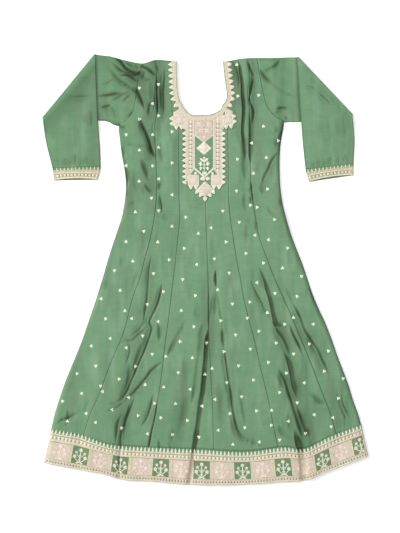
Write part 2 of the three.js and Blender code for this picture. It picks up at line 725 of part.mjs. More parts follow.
function neckBinding() {
  const edge = neckEdge();
  const offset = SEAM + BINDING.wide / 2;
  const inward = edge.map((_, i) => {
    const before = edge[Math.max(0, i - 1)];
    const after = edge[Math.min(edge.length - 1, i + 1)];
    const run = between(before, after);
    return { x: (after.drop - before.drop) / run, drop: -(after.x - before.x) / run };
  });
  const frontHeight = FRONT_TOP + SEAM;
  const backHeight = CLOTH / 2;
  const radius = (frontHeight - backHeight) / 2;
  const middle = (frontHeight + backHeight) / 2;
  const stations = [];
  const add = (i, height, out, tilt) => {
    const x = edge[i].x + inward[i].x * offset;
    const drop = edge[i].drop + inward[i].drop * offset - out;
    stations.push({ at: { x, drop }, wide: inward[i], height, tilt });
  };
  edge.forEach((_, i) => add(i, frontHeight, 0, 0));
  const end = edge.length - 1;
  for (const angle of SHOULDER_TURN) {
    add(end, middle + radius * Math.cos(angle), radius * Math.sin(angle), angle);
  }
  for (let i = end; i >= 0; i -= 1) {
    add(i, backHeight, 0, Math.PI);
  }
  for (const angle of SHOULDER_TURN) {
    add(0, middle - radius * Math.cos(angle), radius * Math.sin(angle), Math.PI - angle);
  }

  const points = stations.flatMap(({ at, wide, height, tilt }) =>
    BINDING_CORNERS.map(([w, h]) => {
      const across = (w * BINDING.wide) / 2;
      const up = (h * BINDING.high) / 2;
      const drop = at.drop + wide.drop * across - up * Math.sin(tilt);
      return place({ x: at.x + wide.x * across, drop }, height + up * Math.cos(tilt));
    }),
  );
  const faces = [];
  stations.forEach((_, k) => {
    const next = (k + 1) % stations.length;
    for (let i = 0; i < 4; i += 1) {
      const j = (i + 1) % 4;
      faces.push(...quad(k * 4 + i, next * 4 + i, next * 4 + j, k * 4 + j));
    }
  });
  return piece('neck_binding', solid(points, faces), COLOURS.binding, 0.5);
}

// ------------------------------------------------------------------ the garment
const garment = new THREE.Group();
garment.add(...kalis(), ...borders(), ...sleeves(), yoke(), neckBinding());

// The origin is the middle of the laid garment's underside.
const middle = new THREE.Box3().setFromObject(garment).getCenter(new THREE.Vector3());
garment.position.set(-middle.x, -middle.y, 0);

export default garment;
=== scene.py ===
# %% [markdown]
# # A kurta of twelve kalis, laid flat
# This lesson dresses a long silk kurta around its imported model. The garment is sewn from twelve
# flared panels, called kalis, with two sleeves folded over, a patterned border round the hem,
# cuffs to match and a stiff yoke round the neck. The imported model fixes every size, so the first
# step loads it.

# %% Load the frame
import math

import bpy
import numpy as np
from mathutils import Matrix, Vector
from mathutils.geometry import delaunay_2d_cdt


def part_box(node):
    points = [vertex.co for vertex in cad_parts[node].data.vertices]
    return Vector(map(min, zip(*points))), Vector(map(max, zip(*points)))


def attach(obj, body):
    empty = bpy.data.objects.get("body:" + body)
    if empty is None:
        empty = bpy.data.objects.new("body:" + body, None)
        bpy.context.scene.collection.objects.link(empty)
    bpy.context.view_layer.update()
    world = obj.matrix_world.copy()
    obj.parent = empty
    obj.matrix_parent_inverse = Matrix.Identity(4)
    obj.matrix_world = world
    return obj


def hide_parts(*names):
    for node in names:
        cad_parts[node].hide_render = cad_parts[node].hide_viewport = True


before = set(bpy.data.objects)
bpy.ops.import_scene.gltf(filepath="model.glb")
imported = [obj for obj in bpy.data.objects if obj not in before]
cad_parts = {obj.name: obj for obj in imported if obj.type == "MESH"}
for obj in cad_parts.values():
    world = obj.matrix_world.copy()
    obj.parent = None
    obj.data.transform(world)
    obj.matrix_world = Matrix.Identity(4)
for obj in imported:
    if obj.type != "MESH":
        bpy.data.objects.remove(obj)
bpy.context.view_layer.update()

# %% [markdown]
# ## Working in the cutter's own measures
# A garment is drawn with two measures: x across it, and drop down from the shoulder, both in
# millimetres. Two corners of the yoke tie them to the frame: its left edge is cut 105 mm from
# the middle, and its top is 1 mm above the shoulder point. `laid` turns such plan points and
# their heights above the table into metres.

# %% From the cutter's measures to the frame
MM = 0.001
YOKE_LEFT = -105
YOKE_TOP = -1
yoke_low, yoke_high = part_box("yoke")
middle_x = yoke_low.x - YOKE_LEFT * MM
shoulder_y = yoke_high.y + YOKE_TOP * MM


def laid(x, drop, height):
    x, drop, height = np.broadcast_arrays(x, drop, height)
    return np.stack([middle_x + x * MM, shoulder_y - drop * MM, height * MM], axis=-1)


print("middle line at x =", round(middle_x, 4), "shoulder at y =", round(shoulder_y, 4))

# %% [markdown]
# ## The cut, as a few points on smooth curves
# Pattern makers mark a seam with a few points and join them with a French curve. `curve` does
# the same with a cubic through (where, value) pairs, and works on whole arrays at once, which
# makes a fine mesh quick to build. The tables repeat the model's cut.

# %% A French curve
def curve(pairs):
    at, value = np.array(pairs, float).T
    last = len(at) - 1
    before = np.maximum(np.arange(last + 1) - 1, 0)
    after = np.minimum(np.arange(last + 1) + 1, last)
    slope = (value[after] - value[before]) / (at[after] - at[before])

    def follow(where):
        where = np.asarray(where, float)
        i = np.searchsorted(at[1:last], where)
        width = at[i + 1] - at[i]
        t = (where - at[i]) / width
        inside = np.clip(t, 0, 1)
        start, end = slope[i] * width, slope[i + 1] * width
        bend = (2 * value[i] + start + end - 2 * value[i + 1]) * inside**3
        rise = (3 * (value[i + 1] - value[i]) - 2 * start - end) * inside**2
        beyond = np.where(t < 0, start * t, 0) + np.where(t > 1, end * (t - 1), 0)
        return bend + rise + start * inside + value[i] + beyond

    return follow


# %% The outline and the seams
SHOULDER = [(-320, -22), (-282, -22), (-247, -7), (-212, 2), (-180, 6), (-143, -4), (-85, 0),
            (54, 1), (101, -7), (150, -10), (205, -10), (269, -14)]
ARMHOLE_LEFT = [(-180, 6), (-194, 52), (-199, 92), (-206, 132), (-218, 158), (-234, 175), (-250, 187)]
SEAM_LEFT = [(-143, -4), (-140, 45), (-138, 88), (-138, 125), (-140, 150), (-143, 169), (-145, 188)]
NECK_LEFT = [(-85, 0), (-84, 45), (-81, 90), (-76, 114), (-67, 131), (-73, 158), (-75, 187)]
CENTRE = [(-7, 158)] * 5 + [(-6, 172), (-5, 188)]
NECK_RIGHT = [(54, 1), (58, 45), (65, 95), (61, 117), (52, 131), (62, 158), (65, 187)]
SEAM_RIGHT = [(127, -8), (128, 40), (128, 86), (129, 125), (129, 150), (129, 168), (129, 184)]
ARMHOLE_RIGHT = [(150, -10), (158, 37), (168, 87), (179, 129), (194, 150), (212, 167), (228, 177)]
NECK_ROW = 4
NECK_BOTTOM = [(-67, 131), (-57, 145), (-40, 157), (-7, 158), (8, 158), (31, 151), (46, 142), (52, 131)]

# Below the underarms: drop, left side, five seams, right side.
ACROSS = np.array([
    (187, -250, -145, -75, -5, 65, 129, 227), (257, -244, -143, -76, -3, 67, 130, 217),
    (344, -230, -140, -75, 0, 68, 132, 217), (402, -233, -141, -75, 2, 69, 138, 223),
    (460, -244, -148, -73, 3, 74, 147, 237), (518, -264, -159, -79, 5, 83, 159, 255),
    (576, -282, -175, -85, 7, 92, 181, 278), (634, -299, -190, -92, 9, 103, 203, 298),
    (692, -317, -212, -99, 10, 113, 230, 318), (750, -337, -225, -106, 11, 128, 255, 345),
    (808, -357, -244, -114, 11, 143, 279, 368), (866, -380, -270, -121, 15, 156, 303, 388),
    (924, -404, -291, -128, 18, 170, 325, 411), (982, -424, -314, -137, 21, 184, 348, 429),
    (1040, -441, -340, -148, 23, 195, 369, 449), (1098, -452, -357, -160, 24, 207, 384, 460),
], float)
BORDER_SEAM = [(-446, 1069), (-363, 1083), (-276, 1109), (-160, 1118), (-15, 1124), (121, 1130),
               (231, 1117), (284, 1122), (362, 1086), (452, 1052)]
BORDER_EDGE = [(-465, 1163), (-351, 1185), (-299, 1194), (-247, 1210), (-143, 1217), (-56, 1225),
               (118, 1225), (223, 1217), (292, 1213), (362, 1185), (473, 1143)]
YOKE = [(-105, 2), (-104, 90), (-100, 152), (-100, 194), (-68, 198), (-67, 335), (-54, 372), (-26, 374),
        (-2, 408), (22, 374), (48, 372), (60, 335), (60, 198), (90, 192), (90, 152), (84, 90), (76, -1)]

shoulder_drop = curve(SHOULDER)
neck_drop = curve(NECK_BOTTOM)
border_seam_drop = curve(BORDER_SEAM)
border_edge_drop = curve(BORDER_EDGE)

SKIRT_ROWS = 19
SKIRT_TOP = 232
SKIRT_LOWEST = 1026
BORDER_ABOUT = 1110.0
BORDER_TRIES = 6


def two_curves(points):
    """x and drop of a line of points, each as a curve over the point's number."""
    row = np.arange(len(points))
    return curve(np.c_[row, points[:, 0]]), curve(np.c_[row, points[:, 1]])


def seam_line(upper, column):
    """A seam from the shoulder down to where it meets the border, found in a few tries."""
    x_at = curve(ACROSS[:, [0, column]])
    rows = [(x_at(drop), drop) for drop in np.linspace(SKIRT_TOP, SKIRT_LOWEST, SKIRT_ROWS)]
    end = BORDER_ABOUT
    for _ in range(BORDER_TRIES):
        end = border_seam_drop(x_at(end))
    return two_curves(np.array(upper + rows + [(x_at(end), end)], float))


UPPER_SEAMS = [ARMHOLE_LEFT, SEAM_LEFT, NECK_LEFT, CENTRE, NECK_RIGHT, SEAM_RIGHT, ARMHOLE_RIGHT]
seams = [seam_line(upper, column + 1) for column, upper in enumerate(UPPER_SEAMS)]
UNDERARM_ROW = 6
LAST_ROW = 7 + SKIRT_ROWS
print("width at the hem:", round(float(seams[6][0](LAST_ROW) - seams[0][0](LAST_ROW))), "mm")

# %% [markdown]
# ## How high the front stands off the back
# Silk that has been worn and laid out is never level: it puffs up between its seams, rolls over
# at the closed sides and falls into troughs where there is too much of it. Cloth simulation
# would give folds of its own choosing, so the folds here are placed one row each, and a
# formula gives them their section: a crisp crease in a soft, wider hollow, with a raised bank.
# `reach` is the tool for that. It tells how far each point lies from a line, on which side, and
# how far along the line. `ease` is a smooth step, `mix` a blend, and `bell` a smooth bump that is
# 1 in its middle and gone at about twice its width.

# %% Distance from a given line
def smooth_path(points, pieces=6):
    points = np.array(points, float)
    if len(points) == 2:
        return points
    fine = np.linspace(0, len(points) - 1, pieces * (len(points) - 1) + 1)
    return np.stack([along(fine) for along in two_curves(points)], axis=-1)


def reach(path, x, drop):
    """Signed distance (+ to the right as the line runs down) and share of the line's length."""
    best = np.full(np.shape(x), 1e9)
    side = np.zeros(np.shape(x))
    share = np.zeros(np.shape(x))
    runs = np.hypot(*(path[1:] - path[:-1]).T)
    starts = np.r_[0, np.cumsum(runs)]
    for (ax, ad), (bx, bd), run, start in zip(path[:-1], path[1:], runs, starts):
        if run == 0:
            continue
        ux, ud = (bx - ax) / run, (bd - ad) / run
        t = np.clip((x - ax) * ux + (drop - ad) * ud, 0, run)
        off = np.hypot(x - ax - ux * t, drop - ad - ud * t)
        closer = off < best
        best = np.where(closer, off, best)
        side = np.where(closer, np.sign((x - ax) * ud - (drop - ad) * ux), side)
        share = np.where(closer, (start + t) / starts[-1], share)
    return best * np.where(side < 0, -1, 1), share


def ease(t):
    t = np.clip(t, 0, 1)
    return t * t * (3 - 2 * t)


def mix(a, b, t):
    return a + (b - a) * t


def bell(off, wide):
    return np.exp(-((off / wide) ** 2))


# %% [markdown]
# ## The folds, one by one
# Each row gives a fold's depth, its width on the left and on the right, its marks, and the line
# that its bottom follows. Without a mark it is a crisp crease with painted shade in its core and
# on its left. "mirror" puts the painted shade on the right, "soft" leaves the crease out, "band"
# is a trough with a flat bottom, "thin" is a sharp crease between two banks with a painted
# highlight, and "on" lets it run on at its lower end instead of dying out. A minus depth is a
# ridge, with a painted highlight. `ripple` makes each fold waver and vary. It is smooth noise:
# seeded random heights on a coarse lattice, joined by cubic steps and stretched along the
# cloth's fall.

# %% Folds of the front, in millimetres
FOLDS = [
    # the two deep folds that run down from the middle, and what they do near the border
    (6.8, 6, 6, "band", "on",
     [(9, 772), (5, 820), (1, 870), (-4, 925), (-10, 975), (-18, 1035), (-27, 1095), (-47, 1222)]),
    (2.4, 3, 3, "soft", [(10, 650), (11, 710), (11, 790)]),
    (4.2, 9, 8, "soft", [(-3, 752), (-12, 790), (-15, 832), (-20, 874)]),
    (4, 8, 7, "soft", [(-20, 850), (-25, 900), (-30, 950), (-40, 1000)]),
    (2, 9, 9, "soft", [(-24, 690), (-22, 730), (-20, 764)]),
    (2.6, 8, 8, "soft", [(33, 664), (31, 700), (30, 742)]), (5, 3, 3, [(30, 603), (31, 630), (33, 656)]),
    (2, 4, 5, "mirror", [(31, 656), (22, 690), (16, 728), (12, 765)]),
    (2.6, 5, 4, "soft", [(34, 660), (40, 700), (47, 742), (52, 780)]),
    (4.4, 6, 5, "soft", [(48, 768), (53, 802), (57, 836)]),
    (6.2, 8, 4,
     [(54, 826), (61, 868), (70, 930), (77, 980), (83, 1022), (90, 1060), (106, 1090), (126, 1112)]),
    (3.6, 6, 7, [(90, 1064), (108, 1086), (130, 1103), (176, 1116)]),
    (2.8, 13, 11, "soft", [(-62, 860), (-60, 920), (-56, 975), (-60, 1030), (-76, 1080)]),
    (4.4, 9, 9, "soft", [(-57, 748), (-71, 782), (-88, 816), (-114, 866)]),
    (2.6, 13, 14, "soft", [(37, 920), (46, 985), (50, 1070)]),
    (2.4, 8, 8, "soft", [(98, 936), (108, 985), (120, 1060)]), (2.4, 7, 6, [(-91, 1064), (-98, 1112)]),
    # left of the skirt
    (1.8, 8, 6, "soft", [(-136, 492), (-145, 535)]),
    (3.8, 6, 9, "mirror",
     [(-155, 560), (-160, 592), (-164, 622), (-166, 660), (-170, 702), (-176, 738), (-182, 760)]),
    (2, 6, 5, "soft", [(-196, 600), (-203, 632), (-219, 682)]),
    (1.8, 8, 6, "soft", [(-241, 566), (-240, 604)]), (2, 8, 8, "soft", [(-288, 632), (-282, 664)]),
    (1.4, 8, 8, "soft", [(-180, 470), (-177, 560)]),
    (6.2, 8, 4,
     [(-124, 640), (-133, 690), (-145, 722), (-157, 745), (-161, 758), (-155, 774), (-160, 798),
      (-170, 822), (-180, 848), (-190, 872), (-202, 900), (-214, 928), (-226, 956), (-244, 980),
      (-262, 990)]),
    (2.6, 7, 6, "soft", [(-182, 812), (-194, 850), (-206, 892)]),
    (4.6, 7, 6, [(-166, 742), (-176, 757), (-192, 776), (-208, 792), (-222, 802)]),
    (4.4, 4, 4, [(-164, 766), (-180, 780), (-197, 796), (-214, 809), (-233, 809), (-250, 820)]),
    (3.2, 7, 6, [(-225, 806), (-217, 834), (-222, 860), (-228, 880)]),
    (2.6, 6, 6, "soft", [(-218, 874), (-222, 920), (-230, 956)]),
    (6.6, 5, 7, "mirror", [(-122, 868), (-150, 892), (-170, 917), (-190, 940), (-208, 962), (-234, 983)]),
    (3.4, 4, 4, [(-230, 984), (-250, 998), (-270, 1010), (-296, 1016)]),
    (2, 5, 5, "soft", [(-254, 1000), (-284, 986)]),
    (5.6, 4, 3, "on", [(-204, 968), (-214, 1000), (-228, 1036), (-240, 1072), (-246, 1110), (-251, 1216)]),
    (4.4, 3, 3, [(-216, 986), (-222, 1012), (-232, 1050), (-238, 1100)]),
    (4.6, 4, 3, [(-240, 1018), (-253, 1052), (-259, 1108)]),
    (4.8, 9, 10, "mirror", [(-150, 962), (-158, 1004), (-172, 1040), (-192, 1066)]),
    (3, 7, 7, "soft", [(-137, 756), (-129, 782), (-133, 816)]),
    (4.4, 3, 3, "on", [(-137, 976), (-146, 1030), (-154, 1070), (-161, 1112)]),
    (3.6, 3, 3, "on", [(-136, 1096), (-129, 1122)]), (3.2, 3, 4, "on", [(-106, 1102), (-96, 1126)]),
    (3.6, 6, 6, [(-436, 1056), (-414, 1040), (-394, 1033), (-362, 1014)]),
    (3.6, 6, 6, "soft", [(-399, 1004), (-397, 1032), (-404, 1062)]),
    (2.4, 7, 7, "soft", [(-334, 978), (-346, 1008), (-352, 1030)]),
    (1.4, 16, 16, "soft", [(-330, 700), (-372, 860), (-396, 980)]),
    (-1.8, 22, 26, "on", [(-306, 830), (-332, 1000), (-345, 1180)]),
    # right of the skirt
    (4, 6, 5, [(132, 632), (147, 668), (160, 691), (177, 728), (198, 754)]),
    (5.2, 8, 5, [(154, 590), (165, 616), (175, 644), (184, 672)]),
    (6.2, 5, 5, "band", "on", [(168, 616), (177, 648), (186, 678), (193, 706), (199, 735), (205, 762)]),
    (6.4, 4, 4, [(192, 754), (206, 761), (226, 768)]),
    (6.2, 12, 6, [(202, 752), (210, 778), (224, 798), (234, 817), (242, 842), (246, 864)]),
    (5.6, 7, 9, "mirror", [(242, 752), (254, 785), (264, 808), (276, 834), (282, 850)]),
    (2, 5, 5, "soft", [(230, 650), (243, 676), (262, 714)]),
    (6.4, 13, 5,
     [(252, 700), (264, 718), (276, 744), (288, 774), (303, 800), (326, 836), (342, 868), (364, 912)]),
    (2.6, 4, 4, [(292, 796), (312, 828), (330, 862)]),
    (5.4, 5, 8, "band", [(226, 838), (240, 866), (247, 892), (252, 920), (258, 946), (268, 980)]),
    (6.4, 6, 7, "mirror",
     [(210, 886), (222, 908), (232, 930), (242, 960), (251, 990), (262, 1024), (273, 1062), (284, 1100)]),
    (3.4, 9, 6, "soft", [(212, 892), (222, 926), (230, 956)]),
    (6.2, 7, 8, [(264, 996), (276, 1030), (287, 1062), (297, 1102)]),
    (5, 7, 7, "soft", [(292, 1058), (306, 1092)]),
    (7, 9, 10, "band", "on", [(258, 1064), (268, 1096), (276, 1130), (287, 1222)]),
    (3.2, 10, 8, "soft", [(298, 956), (316, 972), (334, 986), (356, 996)]),
    (2, 3, 3, [(308, 966), (330, 984), (350, 994)]),
    (2.8, 4, 5, [(380, 950), (389, 988), (400, 1020), (416, 1046)]),
    (2.6, 4, 4, [(393, 960), (403, 1000), (424, 1040)]),
    (3.8, 8, 8, "soft", [(212, 1052), (222, 1074), (236, 1092)]),
    (2.2, 7, 7, "soft", [(238, 1012), (246, 1050), (254, 1086)]),
    (-1.6, 18, 18, [(196, 640), (244, 770), (284, 905)]),
    # gathers below the left shoulder
    (8.4, 5, 4, "thin", "on",
     [(-300, -28), (-268, -16), (-250, -2), (-241, 6), (-230, 20), (-217, 30), (-204, 38), (-190, 34)]),
    (3, 5, 4, "thin", [(-252, -14), (-236, -4), (-222, 10), (-206, 22)]),
    (5, 7, 6, "soft", [(-216, 30), (-206, 36), (-197, 34)]),
    (5.6, 5, 4, "thin", [(-276, -2), (-264, 10), (-252, 20), (-240, 29), (-226, 35), (-214, 43), (-200, 51)]),
    (5.6, 4, 4, "thin", [(-250, 40), (-228, 39), (-214, 45), (-200, 56), (-186, 58)]),
    (5.4, 5, 4, [(-276, 22), (-262, 42), (-246, 58), (-230, 68), (-214, 78), (-200, 92)]),
    (4.2, 6, 6, "soft", [(-214, 76), (-204, 86), (-194, 94)]),
    (4.2, 3, 4, [(-214, 78), (-222, 90), (-240, 98), (-262, 110), (-278, 124)]),
    (3.6, 3, 4, [(-210, 88), (-224, 104), (-246, 124)]), (3, 4, 4, [(-306, 66), (-280, 60), (-256, 48)]),
    (1.8, 6, 6, "soft", [(-286, 12), (-270, 34), (-256, 52)]),
    (3, 5, 5, "soft", [(-234, 4), (-216, 10), (-202, 20)]),
    (3.2, 5, 5, "soft", [(-206, 6), (-196, 16), (-198, 26)]),
    (6.6, 5, 5, "thin", [(-196, 14), (-178, 16), (-164, 24), (-144, 40)]),
    (3.6, 8, 8, "soft", [(-186, 26), (-180, 40), (-184, 54)]),
    (2.6, 3, 3, [(-184, 56), (-166, 52), (-146, 45)]),
    (7, 6, 5, [(-202, 72), (-191, 98), (-183, 116), (-172, 140)]),
    (2.6, 7, 7, "soft", [(-157, 56), (-156, 88), (-158, 118)]),
    (4.2, 6, 5, "soft", [(-157, 112), (-161, 138), (-166, 160)]),
    (5.4, 4, 5, [(-139, 40), (-139, 100), (-138, 136), (-137, 164)]),
    (2, 3, 3, [(-148, 90), (-146, 120), (-150, 150)]),
    (2.4, 4, 4, "soft", [(-144, 4), (-138, 18), (-134, 34)]),
    (6.4, 7, 3, [(-117, 12), (-119, 50), (-121, 100), (-119, 158)]),
    (3.4, 3, 3, [(-123, 60), (-124, 100), (-122, 140)]), (2, 12, 10, "soft", [(-122, 146), (-118, 184)]),
    # the left side of the bodice and its upper sleeve
    (7.4, 7, 4,
     [(-192, 156), (-181, 188), (-171, 213), (-163, 233), (-158, 252), (-150, 268), (-135, 284)]),
    (2.4, 4, 4, [(-150, 168), (-153, 198), (-147, 216), (-148, 256)]),
    (2.6, 3, 3, [(-250, 237), (-222, 240), (-190, 245), (-162, 243)]),
    (3, 7, 7, "soft", [(-127, 234), (-128, 262), (-122, 296)]),
    (4.6, 9, 8, "soft", [(-186, 278), (-176, 306), (-168, 327), (-163, 352)]),
    (5, 3, 4, [(-176, 350), (-169, 366), (-160, 376), (-148, 384)]),
    (3.4, 6, 6, "soft", [(-138, 350), (-132, 361), (-139, 374)]),
    (1.8, 6, 6, "soft", [(-182, 362), (-176, 390)]), (3.4, 4, 4, [(-131, 382), (-128, 410), (-123, 444)]),
    (2.6, 9, 9, "soft", [(-119, 436), (-110, 468)]), (3, 4, 4, [(-230, 417), (-214, 413), (-202, 404)]),
    (1.6, 5, 5, "soft", [(-217, 306), (-217, 352)]),
    (1.8, 5, 5, "soft", [(-206, 306), (-205, 350), (-196, 386)]),
    (1.6, 7, 7, "soft", [(-228, 222), (-214, 226)]), (4.4, 8, 8, "soft", [(-244, 250), (-236, 286)]),
    (4.4, 8, 8, "soft", [(-234, 296), (-228, 330), (-227, 376)]),
    (6.6, 4, 4, [(-326, 103), (-290, 98), (-262, 95), (-234, 96)]),
    (6.6, 5, 5, [(-308, 136), (-286, 129), (-268, 127)]),
    (4, 5, 6, [(-273, 128), (-265, 148), (-255, 168)]), (2.2, 6, 6, "soft", [(-305, 146), (-309, 170)]),
    (3.6, 3, 4, [(-226, 167), (-213, 153), (-200, 142)]),
    (6.4, 3, 3, [(-262, 185), (-240, 191), (-226, 192)]), (2.4, 7, 7, "soft", [(-242, 196), (-232, 206)]),
    # the right side of the bodice
    (5, 5, 5, [(76, -8), (84, 12), (92, 30), (97, 50), (100, 84)]),
    (6.2, 5, 4, "band",
     [(92, -10), (101, 18), (107, 56), (109, 100), (112, 145), (110, 185), (109, 214), (114, 250)]),
    (4.4, 3, 3, [(106, 60), (107, 100), (110, 150), (106, 196)]),
    (3.4, 6, 6, "soft", [(110, 196), (115, 240), (117, 296)]),
    (3.2, 9, 9, "soft", [(112, 200), (114, 260), (117, 350)]),
    (2.2, 2, 2, [(122, 56), (124, 96), (125, 140)]),
    (4.4, 4, 4, [(120, -10), (128, 14), (136, 32), (149, 48)]),
    (4.8, 6, 9, "soft", [(136, 30), (137, 48), (134, 70), (130, 104)]),
    (5, 3, 7, "mirror", [(149, 46), (139, 62), (131, 94), (129, 112), (136, 132), (141, 156), (135, 184)]),
    (3.6, 5, 7, "soft", [(134, 108), (138, 146), (135, 184), (136, 226), (136, 290)]),
    (5, 3, 3, [(128, 150), (130, 220), (131, 310)]), (3, 3, 3, [(135, 340), (136, 384), (142, 424)]),
    (2.8, 4, 4, [(126, 346), (133, 364), (125, 384)]), (2.8, 4, 4, [(125, 390), (134, 402), (124, 416)]),
    (2.4, 7, 7, "soft", [(116, 376), (116, 416), (123, 444)]),
    (1.4, 8, 8, "soft", [(119, 464), (122, 534)]),
    (5.8, 4, 5, [(156, 18), (170, 42), (184, 56), (198, 70)]),
    (4.4, 5, 5, [(160, 34), (184, 24), (204, 12), (216, -4), (228, -16)]),
    (3.4, 7, 6, "soft", [(196, 24), (210, 8), (220, -10)]),
    (4, 4, 4, [(188, 62), (216, 81), (242, 96), (270, 112)]),
    (6, 4, 4, [(204, 140), (224, 134), (244, 135)]), (3, 6, 6, "soft", [(200, 154), (226, 139)]),
    (4.4, 5, 5, "soft", [(230, 156), (240, 172)]),
    (4.2, 10, 9, "soft", [(229, 188), (222, 218), (217, 262)]),
    (2.8, 6, 6, "soft", [(200, 202), (222, 196)]),
    (4, 5, 6, "mirror",
     [(224, 257), (213, 270), (200, 279), (190, 294), (182, 314), (172, 332), (166, 350), (154, 372)]),
    (3.6, 9, 9, "soft", [(168, 352), (166, 388)]), (2, 9, 9, "soft", [(216, 222), (203, 252)]),
    (2.6, 6, 6, "soft", [(217, 396), (224, 424)]),
    (1.8, 5, 5, "soft", [(176, 418), (192, 440), (210, 452)]),
    (1.8, 5, 5, "soft", [(145, 456), (152, 500)]),
]
print(len(FOLDS), "folds placed")

# %% Smooth noise
LATTICE = 64


def ripple(x, drop, across, down, seed):
    """Smooth noise from -1 to 1, in cells of `across` by `down` millimetres."""
    lattice = np.random.default_rng(seed).uniform(-1, 1, (LATTICE, LATTICE))
    u = np.asarray(x) / across + LATTICE / 2
    v = np.asarray(drop) / down + LATTICE / 8
    i, j = np.floor(u).astype(int), np.floor(v).astype(int)
    s, t = ease(u - i), ease(v - j)
    i, j = i % (LATTICE - 1), j % (LATTICE - 1)
    upper = mix(lattice[i, j], lattice[i + 1, j], s)
    lower = mix(lattice[i, j + 1], lattice[i + 1, j + 1], s)
    return mix(upper, lower, t)


# %% The section of a fold
FULL_DEPTH = 7
DEEPEST = 1.3
REACH = 3.2
TAPER = 44
WAVER = 1.2
WAVER_SEED = 140
UNEVEN_SEED = 40
PATCHY_SEED = 240
# the painted shade of the folds is weaker on the skirt, fading in below this drop
SKIRT_FROM = 520
SKIRT_FADE = 120
SKIRT_TONE = 0.83


def flat_top(off, wide, steep=4):
    return 1 / (1 + (np.abs(off) / wide) ** steep)


def section(marks, deep, wide, point, off, crisp, q, patchy):
    """A fold's section at each distance off its line, as shares of its depth and of its painted tone: painted
    shade, and below 0 a painted highlight.

    The widths are millimetres. How much each part counts was found.
    """
    hollow = np.exp(-1.3 * q**2)
    if deep < 0:
        return hollow, 0.7 * hollow
    if "soft" in marks:
        return 0.7 * hollow, 0.75 * hollow
    if "thin" in marks:
        core = flat_top(off, 1 + 0.24 * deep)
        banks = bell(np.abs(off) - 5.5, 2.2)
        return 0.5 * hollow + 0.4 * core, 1.05 * core - 0.12 * banks
    if "band" in marks:
        bottom = flat_top(q, 1, 5)
        bank = bell(crisp + 1.3 * wide * point, 2.2)
        return 0.85 * bottom - 0.14 * bank, 0.9 * bottom * patchy + 0.2 * hollow - 0.3 * bank
    crease = bell(off, 0.9 + 0.18 * deep)
    core = flat_top(off, 0.8 + 0.27 * deep)
    bank = bell(crisp + 0.55 * wide * point, 1.8)
    shade = bell(crisp + 1.2 * wide * point, 0.65 * wide * point)
    halo = bell(off, 6 + 2 * wide)
    down = 0.5 * hollow + 0.4 * crease - 0.1 * bank + 0.12 * shade
    return down, 0.22 * shade + 0.16 * hollow + 0.76 * core + 0.13 * halo - 0.26 * bank


def folds_at(x, drop, folds):
    """The height that folds add, and their painted tone: painted shade up to 1 in a trough, a painted
    highlight below 0 on a crest.
    """
    height = np.zeros(np.shape(x))
    dip = np.zeros(np.shape(x))
    for number, (deep, left, right, *marks, points) in enumerate(folds):
        path = smooth_path(points)
        margin = REACH * max(left, right)
        low, high = path.min(0) - margin, path.max(0) + margin
        near = (x > low[0]) & (x < high[0]) & (drop > low[1]) & (drop < high[1])
        if not near.any():
            continue
        spots = x[near], drop[near]
        off, share = reach(path, *spots)
        off = off + WAVER * ripple(*spots, 16, 30, WAVER_SEED + number)
        long = np.hypot(*np.diff(path, axis=0).T).sum()
        soft_end = min(TAPER, 0.4 * long)
        taper = ease(share * long / soft_end)
        if "on" not in marks:
            taper = taper * ease((1 - share) * long / soft_end)
        uneven = taper**0.7 * (1 + 0.4 * ripple(*spots, 26, 44, UNEVEN_SEED + number))
        patchy = 1 + 0.3 * ripple(*spots, 18, 34, PATCHY_SEED + number) if "band" in marks else 1
        point = 0.3 + 0.7 * taper
        crisp, wide, narrow = (-off, right, left) if "mirror" in marks else (off, left, right)
        q = np.abs(off) / (np.where(crisp < 0, wide, narrow) * point)
        down, tone = section(marks, deep, wide, point, off, crisp, q, patchy)
        height[near] -= deep * down * uneven
        dip[near] += deep / FULL_DEPTH * tone * uneven
    fade = mix(1, SKIRT_TONE, ease((drop - SKIRT_FROM) / SKIRT_FADE))
    return height, np.clip(dip, -1, DEEPEST) * fade
